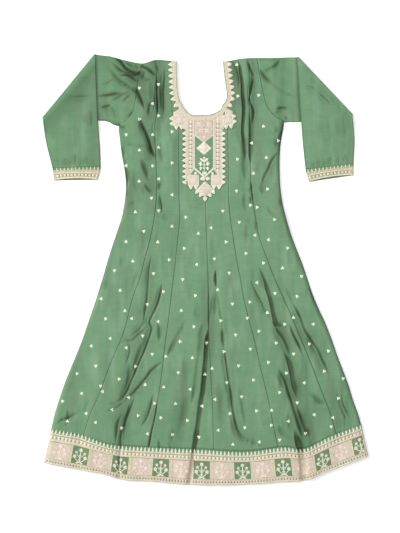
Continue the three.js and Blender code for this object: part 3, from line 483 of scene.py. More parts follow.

# %% [markdown]
# ## Broad painted shade, and the height of the whole front
# Wide soft patches of painted shade darken the silk in places. They are rows too, of strength,
# width and line. The front's height is its puff, less the roll at the closed sides and the level
# ground under the yoke, plus folds and ripples, and never lower than the back that it lies on.

# %% Broad painted shade
BROAD_PAINTED_SHADE = [
    (0.3, 24, [(-266, 0), (-232, 26), (-200, 46)]), (0.4, 6, [(-180, 16), (-164, 24), (-150, 38)]),
    (0.16, 6, [(-184, 184), (-171, 213), (-163, 233), (-157, 254)]),
    (0.24, 22, [(-198, 40), (-180, 100), (-168, 150)]), (0.14, 40, [(-300, -14), (-272, 60), (-236, 120)]),
    (0.08, 34, [(-220, 16), (-184, 84)]), (0.2, 16, [(-128, 20), (-126, 150)]),
    (0.22, 18, [(-186, 180), (-160, 270)]), (0.22, 20, [(-176, 290), (-164, 360)]),
    (0.22, 15, [(92, 10), (100, 110), (104, 230)]), (0.22, 14, [(138, 10), (137, 120), (138, 236)]),
    (0.15, 13, [(226, 176), (213, 235), (214, 280), (180, 350)]), (0.14, 26, [(-166, 500), (-178, 720)]),
    (0.55, 5, [(-240, 250), (-234, 290), (-229, 322), (-228, 384)]),
    (0.5, 7, [(229, 184), (220, 226), (216, 268)]), (0.35, 4, [(-275, 540), (-290, 600)]),
    (0.35, 4, [(-300, 640), (-306, 672)]), (0.35, 4, [(302, 660), (330, 740)]),
    (0.16, 22, [(-180, 800), (-236, 960), (-246, 1090)]), (0.16, 24, [(-60, 880), (-76, 1090)]),
    (0.16, 24, [(206, 700), (240, 840), (262, 960)]), (0.26, 30, [(254, 900), (272, 1010), (282, 1100)]),
    (0.14, 22, [(300, 790), (350, 900), (380, 1040)]), (0.16, 14, [(-400, 1040), (-380, 1020)]),
    (0.22, 22, [(-150, -20), (-146, 60), (-150, 180)]), (0.14, 20, [(66, -10), (82, 60), (88, 190)]),
    (0.16, 22, [(-300, 130), (-276, 170), (-236, 230)]), (0.16, 24, [(-146, 270), (-152, 420)]),
    (0.16, 20, [(-210, 340), (-204, 430)]), (0.14, 20, [(214, 410), (226, 500)]),
    (0.12, 26, [(214, 650), (226, 800), (228, 1000), (232, 1110)]),
    (0.2, 26, [(4, 640), (6, 800), (10, 950)]), (0.1, 24, [(-70, 1000), (-76, 1110)]),
    (0.1, 30, [(-222, 930), (-226, 1100)]), (0.12, 24, [(150, 1000), (160, 1110)]),
    (0.12, 26, [(306, 1000), (312, 1100)]), (0.26, 10, [(-258, 480), (-280, 580), (-298, 650)]),
    (0.12, 22, [(162, 190), (158, 480)]), (0.12, 15, [(78, 40), (84, 170)]),
    (0.13, 20, [(-222, 350), (-228, 500)]), (0.12, 20, [(386, 930), (404, 1050)]),
    (0.1, 20, [(12, 820), (24, 900)]),
]
BROAD_PAINTED_SHADE_SEED = 200
print(len(BROAD_PAINTED_SHADE), "crushed places")


def painted_broad_shade(x, drop):
    """Painted shade over wide, patchy areas of the silk."""
    tone = np.zeros(np.shape(x))
    for number, (strength, wide, points) in enumerate(BROAD_PAINTED_SHADE):
        off, _ = reach(smooth_path(points), x, drop)
        patchy = 1 + 0.6 * ripple(x, drop, 24, 52, BROAD_PAINTED_SHADE_SEED + number)
        tone += strength * bell(off, wide) * patchy
    return tone


# %% The front's height
UNDERARM = {
    "left": [(-473, 164), (-311, 168), (-282, 173), (-264, 184), (-250, 187)],
    "right": [(228, 177), (246, 176), (278, 176), (429, 155)],
}


EDGE_POINTS = 40


def on_seam(index, rows):
    """Points on a seam, at these row numbers."""
    return np.stack([along(rows) for along in seams[index]], axis=-1)


def side_edge(index, corner, underarm, shoulder):
    side = on_seam(index, np.linspace(LAST_ROW, UNDERARM_ROW, EDGE_POINTS))
    return np.array([corner, *side, *underarm, *shoulder], float)


closed_edges = [
    side_edge(0, BORDER_EDGE[0], UNDERARM["left"][::-1], [p for p in SHOULDER if p[0] <= -85]),
    side_edge(6, BORDER_EDGE[-1], UNDERARM["right"], [p for p in SHOULDER[::-1] if p[0] >= 54]),
]

BACK_TOP = 1.2
FRONT_LOWEST = 2.3
PUFF = 6.3
LEAST = 1.2
LEAST_SOFT = 2.4
ROLL = 15
YOKE_LEVEL = 4.4
YOKE_RISE = 46
YOKE_EDGE = 3
PLACKET_HALF = 62
PLACKET_FOOT = 372
STRAP_FOOT = 196
EDGE_SHADE = 0.3
EDGE_WIDE = 3.5
# height, cell across, cell down and seed of the ripples that no fold explains
RIPPLES = [(2.2, 58, 260, 3), (1.3, 30, 110, 4), (1.0, 90, 46, 5), (0.6, 13, 52, 6)]
yoke_path = np.array(YOKE, float)


def over_yoke(x, drop):
    """0 on the stiff yoke, and up to 1 away from it."""
    inside = (np.abs(x + 4) < PLACKET_HALF) & (drop < PLACKET_FOOT) & (drop > 120)
    strap = (drop < STRAP_FOOT) & (x > -102) & (x < 87)
    off = np.abs(reach(yoke_path, x, drop)[0])
    return np.where(inside | strap, 0, ease((off + YOKE_EDGE) / YOKE_RISE))


def front_height(x, drop):
    """Height of the front's upper side, and its painted shade and highlight."""
    x, drop = np.broadcast_arrays(np.asarray(x, float), np.asarray(drop, float))
    fold, dip = folds_at(x, drop, FOLDS)
    free = PUFF + fold + sum(rise * ripple(x, drop, *cells) for rise, *cells in RIPPLES)
    free = np.where(free < LEAST, LEAST * np.exp((free - LEAST) / LEAST_SOFT), free)
    inside = np.min([np.abs(reach(edge, x, drop)[0]) for edge in closed_edges], axis=0)
    roll = np.sqrt(1 - (1 - np.clip(inside / ROLL, 0, 1)) ** 2)
    level = YOKE_LEVEL - FRONT_LOWEST
    height = level * roll + (free - level) * roll * over_yoke(x, drop)
    # painted shade along the closed sides, where the cloth rolls under; the tone below adds it to the painted
    # shade of the folds and the broad patches
    rim = EDGE_SHADE * bell(inside, EDGE_WIDE) * (1 + 0.7 * ripple(x, drop, 20, 60, 8))
    tone = dip * roll + painted_broad_shade(x, drop) + rim
    return FRONT_LOWEST + np.maximum(height, 0.1), np.clip(tone, -1, DEEPEST)


test_x, test_drop = np.meshgrid(np.linspace(-300, 300, 61), np.linspace(600, 1100, 51))
print("front stands", np.round(front_height(test_x, test_drop)[0].max(), 1), "mm high at most")

# %% [markdown]
# ## Turning plan grids into cloth
# Every panel is a grid of points with a height for each. `cloth_sheet` gives such a grid a
# second, lower layer and closes its four edges, so that the piece is a real wall of silk that
# could be printed or exported, not a single skin. The painted shade and highlight of the folds
# are kept as a point attribute, which the silk's finish turns into colour.

# %% Making a mesh piece
def put(name, data):
    """A new object, in the scene."""
    placed = bpy.data.objects.new(name, data)
    bpy.context.scene.collection.objects.link(placed)
    return placed


def make_piece(name, points, faces, finishes, face_finish=None, walls=0, **attributes):
    """A mesh from arrays; its last faces, as many as `walls`, are cut edges and stay sharp."""
    mesh = bpy.data.meshes.new(name)
    mesh.from_pydata(points.reshape(-1, 3).tolist(), [], [list(map(int, f)) for f in faces])
    for finish in finishes:
        mesh.materials.append(finish)
    if face_finish is not None:
        mesh.polygons.foreach_set("material_index", np.asarray(face_finish, np.int32))
    for key, values in attributes.items():
        layer = mesh.attributes.new(key, "FLOAT", "POINT")
        layer.data.foreach_set("value", np.asarray(values, np.float32).ravel())
    count = len(mesh.polygons)
    mesh.polygons.foreach_set("use_smooth", np.arange(count) < count - walls)
    mesh.update()
    return put(name, mesh)


def grid_faces(rows, columns, start=0, flip=False):
    corner = start + np.arange(rows - 1)[:, None] * columns + np.arange(columns - 1)
    quads = np.stack([corner, corner + columns, corner + columns + 1, corner + 1], axis=-1)
    quads = quads.reshape(-1, 4)
    return quads[:, ::-1] if flip else quads


def grid_triangles(rows, columns):
    return grid_faces(rows, columns)[:, [0, 3, 2, 0, 2, 1]].reshape(-1, 3)


def rim_faces(rows, columns):
    """The four cut edges, between a grid and the one below it."""
    index = np.arange(rows * columns).reshape(rows, columns)
    loop = np.r_[index[0, :-1], index[:-1, -1], index[-1, :0:-1], index[:0:-1, 0]]
    after = np.roll(loop, -1)
    return np.stack([loop, after, after + index.size, loop + index.size], axis=-1)


def on_both(attributes):
    """Point attributes for the upper layer and again for the lower one."""
    return {key: np.tile(values.ravel(), 2) for key, values in attributes.items()}


def cloth_sheet(name, x, drop, top, thick, finishes, face_finish=None, **attributes):
    rows, columns = x.shape
    points = np.concatenate([laid(x, drop, top).reshape(-1, 3), laid(x, drop, top - thick).reshape(-1, 3)])
    rim = rim_faces(rows, columns)
    faces = np.concatenate([grid_faces(rows, columns), grid_faces(rows, columns, x.size, flip=True), rim])
    if face_finish is not None:
        face_finish = np.r_[face_finish, face_finish, np.zeros(len(faces) - 2 * len(face_finish), int)]
    return make_piece(name, points, faces, finishes, face_finish, len(rim), **on_both(attributes))


# %% [markdown]
# ## Shot green silk
# Shot silk is woven with a green warp and a darker, browner weft. Seen square on it is a soft
# green with a pale sheen. Raw silk yarn is also uneven, which leaves fine slubs across the cloth.
# The finish is built from nodes: stretched noise for slubs, weave and uneven dye, random pale
# streaks of painted sheen, painted shade that turns the silk olive in a trough and, in a second
# step, nearly black in the sharpest creases, a painted highlight on crests, slopes painted lighter
# where they face the window and darker where they face away, and Principled sheen for the
# surface's bloom.

# %% Dyes and the silk's finish
def dye(red, green, blue):
    channels = [c / 255 for c in (red, green, blue)]
    return (*[c / 12.92 if c <= 0.04045 else ((c + 0.055) / 1.055) ** 2.4 for c in channels], 1.0)


class Finish:
    """A material under construction: `node` adds a node and links what it is given."""

    def __init__(self, name):
        self.material = bpy.data.materials.new(name)
        self.material.use_nodes = True
        self.tree = self.material.node_tree
        self.shader = self.tree.nodes["Principled BSDF"]

    def node(self, kind, links=(), **settings):
        node = self.tree.nodes.new(kind)
        for key, value in settings.items():
            setattr(node, key, value)
        self.plug(node, links)
        return node

    def plug(self, node, links):
        for socket, value in dict(links).items():
            if hasattr(value, "links"):
                self.tree.links.new(value, node.inputs[socket])
            else:
                node.inputs[socket].default_value = value

    def noise(self, stretch, scale, detail):
        where = self.node("ShaderNodeTexCoord").outputs["Object"]
        scaled = self.node("ShaderNodeMapping", {"Vector": where, "Scale": stretch}).outputs["Vector"]
        links = {"Vector": scaled, "Scale": scale, "Detail": detail}
        return self.node("ShaderNodeTexNoise", links).outputs["Fac"]

    def ramp(self, value, low, high, start=0.0, end=1.0):
        links = {"Value": value, "From Min": low, "From Max": high, "To Min": start, "To Max": end}
        return self.node("ShaderNodeMapRange", links).outputs["Result"]

    def blend(self, share, a, b):
        node = self.node("ShaderNodeMix", data_type="RGBA")
        self.plug(node, {0: share, 6: a, 7: b})
        return node.outputs[2]

    def times(self, a, b):
        return self.node("ShaderNodeMath", {0: a, 1: b}, operation="MULTIPLY").outputs[0]

    def bump(self, height, distance, strength, under=None):
        links = {"Height": height, "Distance": distance, "Strength": strength}
        if under is not None:
            links["Normal"] = under
        return self.node("ShaderNodeBump", links).outputs["Normal"]


GREEN = dye(104, 143, 106)
# painted shade: olive in troughs and on slopes that face away from the window, and DEEP_SHADE in the sharpest
# creases
OLIVE_PAINTED_SHADE = dye(42, 64, 32)
DEEP_SHADE = dye(16, 42, 16)
DARK_SLUB = dye(82, 116, 80)
CLOUDED = dye(84, 129, 92)
# weft-coloured random streaks, also painted light on slopes that face the window; then a painted highlight
# for crests, and painted sheen
WEFT_AND_PAINTED_LIGHT = dye(116, 134, 100)
CREST_PAINTED_HIGHLIGHT = dye(138, 158, 124)
SHEEN = dye(124, 158, 126)


def shot_silk(name, green):
    silk = Finish(name)
    # point attributes: the painted shade and highlight of the folds, and painted light by the way each slope
    # faces the window
    depth = silk.node("ShaderNodeAttribute", attribute_name="dip").outputs["Fac"]
    lean = silk.node("ShaderNodeAttribute", attribute_name="lean").outputs["Fac"]
    slubs = silk.noise((1, 14, 1), 22, 3)
    weave = silk.noise((1, 2.6, 1), 620, 1)
    cloud = silk.noise((1, 0.5, 1), 9, 2)
    mottle = silk.noise((1, 1.3, 1), 42, 2)
    sheen = silk.noise((2.4, 0.6, 1), 15, 3)
    streak = silk.noise((5, 0.8, 1), 9, 2)
    body = green
    # slubs, cloud, mottle and streak vary at random; sheen is painted sheen, and the last five are painted
    # light and shade
    # each tone comes in as its value goes from the first figure to the second, up to a share
    for value, start, full, share, tone in (
        (slubs, 0.36, 0.68, 0.16, DARK_SLUB),
        (cloud, 0.38, 0.66, 0.38, CLOUDED),
        (mottle, 0.42, 0.72, 0.42, CLOUDED),
        (streak, 0.46, 0.72, 0.3, WEFT_AND_PAINTED_LIGHT),
        (sheen, 0.5, 0.72, 0.55, SHEEN),
        (lean, 0.08, 0.7, 0.4, WEFT_AND_PAINTED_LIGHT),
        (lean, -0.06, -0.6, 0.36, OLIVE_PAINTED_SHADE),
        (depth, 0.04, 0.9, 0.93, OLIVE_PAINTED_SHADE),
        (depth, 1.0, DEEPEST, 0.8, DEEP_SHADE),
        (depth, -0.04, -0.6, 0.6, CREST_PAINTED_HIGHLIGHT),
    ):
        body = silk.blend(silk.ramp(value, start, full, 0, share), body, tone)
    bumps = silk.bump(silk.times(slubs, silk.ramp(weave, 0, 1, 0.6, 1.0)), 0.00035, 0.6)
    silk.plug(silk.shader, {
        "Base Color": body,
        "Roughness": silk.ramp(slubs, 0.3, 0.7, 0.4, 0.5),
        "Specular IOR Level": 0.32,
        "Sheen Weight": 0.08,
        "Sheen Roughness": 0.4,
        "Normal": bumps,
    })
    return silk.material


green_silk = shot_silk("shot green silk", GREEN)
# a slightly darker copy of the same silk for the sleeves, whose grain runs the other way; the rest of the
# darkening is painted shade
shaded_sleeve_silk = shot_silk("shot green silk of the sleeves", dye(100, 141, 102))
print("finishes:", [m.name for m in bpy.data.materials if "silk" in m.name])

# %% [markdown]
# ## The twelve kalis
# A kali is a long panel that is narrow at the chest and flares to the hem. Each is a grid
# between two seam lines. Its edges sink a little where the seam pulls them down, so the joins
# show as fine grooves, with painted shade along them. The six of the back lie flat on the table
# under the front.

# %% Plan of a kali
KALIS = [("left_side", 64), ("left_middle", 110), ("left_centre", 92),
         ("right_centre", 92), ("right_middle", 110), ("right_side", 64)]
CENTRE_KALIS = (2, 3)
SEAM_GAP = 0.3
HEM_GAP = 0.05
GROOVE = 0.8
GROOVE_WIDE = 1.3
CROWDED = 0.35


def rows_between(first, step):
    """Row numbers for a fine grid, about one step apart down the garment."""
    rows = [first]
    drop_at = seams[1][1]
    for row in range(first, LAST_ROW):
        count = max(2, round(float(drop_at(row + 1) - drop_at(row)) / step))
        rows += list(row + (np.arange(count) + 1) / count)
    return np.array(rows)


def kali_plan(index, columns, step):
    """A kali's grid, with its lines crowded towards the seams, and how far each point is from one."""
    first = NECK_ROW if index in CENTRE_KALIS else 0
    rows = rows_between(first, step)[:, None]
    (left_x, left_drop), (right_x, right_drop) = seams[index], seams[index + 1]
    even = np.linspace(0, 1, columns + 1)[None, :]
    share = mix(even, 0.5 - 0.5 * np.cos(np.pi * even), CROWDED)
    x = mix(left_x(rows) + SEAM_GAP / 2, right_x(rows) - SEAM_GAP / 2, share)
    drop = mix(left_drop(rows), right_drop(rows), share)
    top = (shoulder_drop if first == 0 else neck_drop)(x[0]) - drop[0]
    bottom = border_seam_drop(x[-1]) - HEM_GAP / 2 - drop[-1]
    drop = drop + top * np.clip(1 - (rows - first), 0, 1) + bottom * np.clip(rows - LAST_ROW + 1, 0, 1)
    beside = np.minimum(x - x[:, :1], x[:, -1:] - x)
    return x, drop, beside


# %% Sew the kalis
FRONT_THICK = 0.8
BACK_LOW = 0.6
ROW_STEP = 4.4
BACK_COARSER = (7, 4)
BELOW_YOKE = (175, 40)
ARMHOLE_FOOT = 190
SEAM_SHADE = 0.26


def cut_area(p):
    """Area of a grid of points in square metres, as the cloth has when its folds are opened out."""
    a, b = p[1:, 1:] - p[:-1, :-1], p[1:, :-1] - p[:-1, 1:]
    return float(np.linalg.norm(np.cross(a, b), axis=-1).sum() / 2)


def grid_cut(p):
    """Greatest width, length and area of the cloth whose surface is a grid of points."""
    width = np.linalg.norm(np.diff(p, axis=1), axis=2).sum(axis=1).max()
    length = np.linalg.norm(np.diff(p, axis=0), axis=2).sum(axis=0).max()
    return float(width), float(length), cut_area(p)


def seam_groove(index, name, x, drop, beside):
    """How far the seams pull a front kali down: 1 on a seam, and less where the yoke is sewn on."""
    groove = bell(beside, GROOVE_WIDE)
    if index in CENTRE_KALIS:
        groove = groove * ease((drop - BELOW_YOKE[0]) / BELOW_YOKE[1])
    if name == "left_side":
        at_armhole = (x - x[:, :1] < x[:, -1:] - x) & (drop < ARMHOLE_FOOT)
        groove = np.where(at_armhole, 0.1 * groove, groove)
    return groove


front_kalis, back_kalis, cuts = {}, {}, {}
for index, (name, columns) in enumerate(KALIS):
    x, drop, beside = kali_plan(index, columns, ROW_STEP)
    height, dip = front_height(x, drop)
    groove = seam_groove(index, name, x, drop, beside)
    height = np.maximum(height - GROOVE * groove, FRONT_LOWEST)
    # painted shade along the seams
    seam_shade = SEAM_SHADE * groove * (1 + ripple(x, drop, 40, 90, 30 + index))
    # the slope across, for painted light: lighter where a slope faces the window, darker where it faces away
    climb = np.gradient(height, axis=1) / np.gradient(x, axis=1)
    piece = cloth_sheet(f"front_kali_{name}", x, drop, height, FRONT_THICK, [green_silk],
                        dip=np.clip(dip + seam_shade, -1, DEEPEST), lean=np.clip(climb, -1, 1))
    front_kalis[name] = piece
    cuts[piece.name] = grid_cut(laid(x, drop, height))
    print(piece.name, "faces:", len(piece.data.polygons), "cut:", np.round(cuts[piece.name], 3))

    x, drop, beside = kali_plan(index, columns // BACK_COARSER[0], ROW_STEP * BACK_COARSER[1])
    flat = np.full(x.shape, BACK_TOP)
    # painted shade along the seams of the back
    piece = cloth_sheet(f"back_kali_{name}", x, drop, flat, BACK_TOP - BACK_LOW, [green_silk],
                        dip=0.3 * bell(beside, GROOVE_WIDE))
    back_kalis[name] = piece
    cuts[piece.name] = grid_cut(laid(x, drop, flat))

# %% [markdown]
# ## Border and cuffs: a blush ground with green squares
# The border is a band 96 mm deep. Its ground is filled with close blush stitching, and squares
# are left open where a deeper green shows. The band is drawn straight, as it was embroidered,
# with u along it and v down it, and `on_border` bends it round the hem. The grid's lines are
# set on the edges of the squares, so that each face is either blush or green.

# %% The border's layout
SPIKES = 12
SQUARES = (31.5, 80)
BAND = 96
PITCH = 118
GREEN_HALF = 23.5
FIRST_GREEN = -10
BORDER_SPREAD = 1.045

fine_x = np.linspace(-446.5, 452.5, 900)
middle_drop = (border_seam_drop(fine_x) + border_edge_drop(fine_x * BORDER_SPREAD)) / 2
runs = np.hypot(np.diff(fine_x) * (1 + BORDER_SPREAD) / 2, np.diff(middle_drop))
along_border = np.r_[0, np.cumsum(runs)]
along_border -= np.interp(0, fine_x, along_border)
u_left, u_right = along_border[0], along_border[-1]


def on_border(u, v):
    top_x = np.interp(u, along_border, fine_x)
    t = np.asarray(v) / BAND
    drop = mix(border_seam_drop(top_x), border_edge_drop(top_x * BORDER_SPREAD), t)
    return top_x * mix(1, BORDER_SPREAD, t), drop


LIFT = 4.5
LIFTED_LEFT_OF = (-240, 160)


def lifted(u, v, sewn_in):
    """The comb and the beads stand higher at the left end; cloth that is sewn in stays in its seam."""
    edge, fade = LIFTED_LEFT_OF
    share = ease((edge - np.interp(u, along_border, fine_x)) / fade)
    return v - LIFT * share * ease((SQUARES[0] - v) / 16) * (ease(v / SPIKES) if sewn_in else 1)


squares_at = FIRST_GREEN + PITCH * np.arange(-4, 5)
green_centres = [u for u in squares_at if u_left + 40 < u < u_right - 10]
print("border runs from", round(u_left), "to", round(u_right), "mm; green squares:", len(green_centres))

# %% [markdown]
# ## Stitching that fills a ground
# Close satin stitch shows as fine ribs of thread. The finish of the filled ground is a pale
# blush whose ribs come from a wave along the thread, with uneven dye, and painted shade turns
# it brown where the cloth folds in.

# %% Finishes of thread
BROWN_FOLD_SHADE = dye(150, 118, 84)


def thread_finish(name, colour, shade, rib=0.0009):
    thread = Finish(name)
    strand = thread.node("ShaderNodeAttribute", attribute_name="strand").outputs["Fac"]
    depth = thread.node("ShaderNodeAttribute", attribute_name="dip").outputs["Fac"]
    turn = thread.times(strand, 2 * math.pi / rib)
    ribs = thread.node("ShaderNodeMath", {0: turn}, operation="SINE").outputs[0]
    uneven = thread.noise((1, 1, 1), 160, 2)
    body = thread.blend(thread.ramp(uneven, 0.35, 0.7), dye(*colour), dye(*shade))
    # painted shade: brown where the cloth folds in
    body = thread.blend(thread.ramp(depth, 0.15, 1.0, 0, 0.42), body, BROWN_FOLD_SHADE)
    thread.plug(thread.shader, {
        "Base Color": body,
        "Roughness": thread.ramp(uneven, 0.3, 0.7, 0.45, 0.6),
        "Sheen Weight": 0.2,
        "Sheen Roughness": 0.35,
        "Normal": thread.bump(ribs, 0.00012, 0.6, under=thread.bump(uneven, 0.0004, 0.5)),
    })
    return thread.material


blush_ground = thread_finish("blush stitched ground", (212, 199, 183), (200, 186, 168))
tan_ground = thread_finish("tan stitched ground", (197, 190, 163), (183, 174, 146))
THREADS = {key: thread_finish(*looks) for key, looks in {
    "cream": ("cream thread", (220, 213, 182), (204, 196, 162)),
    "ivory": ("ivory thread", (225, 227, 203), (210, 212, 184)),
    "blush": ("blush thread", (218, 205, 188), (204, 190, 171)),
    "rose": ("rose thread", (238, 218, 203), (226, 202, 186)),
    "mauve": ("mauve thread", (205, 189, 173), (194, 177, 160)),
    "mint": ("mint white thread", (230, 242, 216), (216, 230, 200)),
    "gold": ("old gold thread", (176, 160, 122), (158, 142, 104)),
    # dark marks stamped round the motifs and in the gaps between them
    "shade": ("dark outline thread", (84, 90, 62), (72, 78, 52)),
}.items()}
THREADS["tan"] = tan_ground
square_silk = shot_silk("green silk of the squares", dye(108, 122, 90))
# a darker copy of the silk for the cuff's under layer: painted shade
shaded_under_silk = shot_silk("shaded lining of the cuffs", dye(104, 110, 86))
print("threads:", ", ".join(THREADS))

# %% Sew the borders
BLUSH, PLAIN_GREEN, SQUARE_GREEN = 0, 1, 2
END_GROUND = 6


def lines_between(edges, step):
    """Grid lines at every edge, with even ones in between."""
    edges = np.unique(np.round(edges, 3))
    lines = [edges[:1]]
    for a, b in zip(edges[:-1], edges[1:]):
        count = max(1, round((b - a) / step))
        lines.append(a + (b - a) * (np.arange(count) + 1) / count)
    return np.concatenate(lines)


def border_sheet(name, step, height_of, thick):
    edges = [u_left, u_right]
    for u in green_centres:
        edges += [u - GREEN_HALF, min(u + GREEN_HALF, u_right - END_GROUND)]
    u = lines_between(edges, step)[None, :]
    v = lines_between([0, SPIKES, *SQUARES, BAND], step)[:, None]
    x, drop = on_border(u, lifted(u, v, True))
    drop[0] += HEM_GAP / 2
    height, dip = height_of(x, drop)
    mid_u, mid_v = (u[:, 1:] + u[:, :-1]) / 2, (v[1:] + v[:-1]) / 2
    in_square = np.any([np.abs(mid_u - c) < GREEN_HALF for c in green_centres], axis=0)
    in_square = in_square & (mid_u < u_right - END_GROUND) & (mid_v > SQUARES[0]) & (mid_v < SQUARES[1])
    in_comb = mid_v + 0 * mid_u < SPIKES
    kind = np.where(in_square, SQUARE_GREEN, np.where(in_comb, PLAIN_GREEN, BLUSH))
    cuts[name] = (cut_area(laid(x, drop, height)) / (BAND * MM), BAND * MM, None)
    return cloth_sheet(name, x, drop, height, thick, [blush_ground, green_silk, square_silk],
                       kind.ravel(), dip=dip, strand=(v + 0 * u) * MM)


BORDER_EXTRA = 0.3


def border_front_height(x, drop):
    height, dip = front_height(x, drop)
    return height + BORDER_EXTRA * ease((drop - border_seam_drop(x)) / SPIKES), dip


def flat_back(x, drop):
    return np.full(np.shape(x), BACK_TOP), 0 * drop


border_front = border_sheet("hem_border_front", 3.2, border_front_height, FRONT_THICK + BORDER_EXTRA)
border_back = border_sheet("hem_border_back", 6, flat_back, BACK_TOP - BACK_LOW)
print("border faces:", len(border_front.data.polygons), len(border_back.data.polygons))

# %% [markdown]
# ## Sleeves, folded over
# Each sleeve is a flattened tube that leaves the armhole, is folded over along a slanting line
# and comes back down, so that its cuff points at the hem. The tube is swept as rings. A ring
# runs across the front layer, round an edge, back along the other layer and round again, and
# the rings turn half a circle at the fold.

# %% Rings of a sleeve
SLEEVES = {
    "left": {"outward": -1, "fold": ((-320, -22), (-473, 164)), "halfway": ((-312, 142), (-461, 236)),
             "seam": ((-303, 304), (-443, 309)), "edge": ((-311, 343), (-438, 345))},
    "right": {"outward": 1, "fold": ((269, -14), (429, 155)), "halfway": ((276, 150), (433, 225)),
              "seam": ((291, 312), (430, 296)), "edge": ((301, 349), (430, 330))},
}
SLEEVE_FOLDS = {
    "left": [
        (2.2, 12, 12, [(-330, 40), (-390, 60)]), (2.6, 9, 8, [(-410, 96), (-374, 103), (-324, 99)]),
        (2.8, 14, 10, [(-331, 140), (-329, 192)]), (1.8, 16, 14, [(-380, 180), (-372, 262)]),
        (3.4, 7, 6, [(-378, 266), (-377, 304)]), (2.6, 6, 6, [(-406, 278), (-403, 306)]),
        (2.4, 6, 6, [(-342, 274), (-345, 306)]), (2.2, 5, 5, [(-428, 276), (-427, 308)]),
        (2, 5, 5, [(-324, 280), (-325, 304)]), (2, 4, 4, [(-392, 284), (-391, 306)]),
        (2, 4, 4, [(-360, 284), (-360, 306)])],
    "right": [
        (2.8, 10, 9, [(289, 72), (325, 77)]), (3, 10, 9, [(326, 88), (346, 106), (367, 128)]),
        (1.8, 18, 16, [(352, 150), (366, 250)]), (1.8, 16, 14, [(400, 150), (408, 230)]),
        (3.4, 6, 6, [(365, 274), (362, 306)]), (3.4, 6, 6, [(409, 270), (411, 300)]),
        (2.2, 5, 5, [(330, 284), (331, 308)]), (2.2, 5, 5, [(387, 276), (388, 302)]),
        (2, 5, 5, [(312, 290), (314, 310)]), (2, 4, 4, [(346, 286), (346, 308)])],
}
LAYERS = 2.7
FOLD_AXIS = 3.3
FOLDED_OVER = 3.9
FOLD_INSET = 3
WALL = 0.8
MOST_WALL = 0.6
TO_CENTRE = 0.004
ACROSS_SLEEVE = 66
EDGE_TURN = 3


def row_points(row, share):
    """Points on a row of points, by their share of its length."""
    at = np.linspace(0, 1, len(row))
    return np.stack([np.interp(share, at, row[:, 0]), np.interp(share, at, row[:, 1])], axis=-1)


def ring_shares():
    """Round the tube: across the front layer, round one edge, back along the other, and round."""
    across = np.linspace(0, 1, ACROSS_SLEEVE + 1)
    across = mix(across, 0.5 - 0.5 * np.cos(np.pi * across), 0.5)
    share = np.r_[across, across[::-1]]
    layer = np.r_[np.ones(len(across)), -np.ones(len(across))]
    return share, layer


def cloth_tube(name, outside, inside, finishes, flip, **attributes):
    """A closed wall from two nests of rings, joined round both open ends."""
    rings, around = outside.shape[:2]
    points = np.concatenate([outside.reshape(-1, 3), inside.reshape(-1, 3)])
    below = rings * around
    ring, spot = np.divmod(grid_faces(rings, around + 1), around + 1)
    wall = ring * around + spot % around
    spot, after = np.arange(around), (np.arange(around) + 1) % around
    last = (rings - 1) * around
    top = np.stack([spot, after, after + below, spot + below], axis=-1)
    bottom = np.stack([last + after, last + spot, last + spot + below, last + after + below], axis=-1)
    faces = np.concatenate([wall, wall[:, ::-1] + below, top, bottom])
    return make_piece(name, points, faces[:, ::-1] if flip else faces, finishes,
                      walls=len(top) + len(bottom), **on_both(attributes))


def rounded(share, width, layer):
    """Height of a layer off the tube's middle: full across, rolled to nothing at both edges."""
    edge = np.minimum(share, 1 - share) * width
    return layer * LAYERS / 2 * np.sqrt(1 - (1 - np.clip(edge / EDGE_TURN, 0, 1)) ** 2)


# %% The sleeves' heights
SLEEVE_PUFF = 2.5
CUFF_END = 1.13
STEP_DOWN = (12, 50)
FLAT_BESIDE = (30, 40)
HIDDEN = (34, 10)
# painted shadow beside the inner edge of the folded-over part, painted shade over each sleeve, and painted
# shade along the sleeve's edges
SHADOW_BESIDE = {"left": 0.05, "right": 0.7}
SHADOW_BESIDE_WIDE = 8
SLEEVE_PAINTED_SHADE = {"left": 0.14, "right": 0.03}
SLEEVE_EDGE_SHADE = (0.5, 3.4)
ARMHOLES = {"left": 0, "right": 6}
ARMHOLE_GAP = {"left": 0.01 - SEAM_GAP / 2, "right": SEAM_GAP / 2}
ROW_POINTS = 25


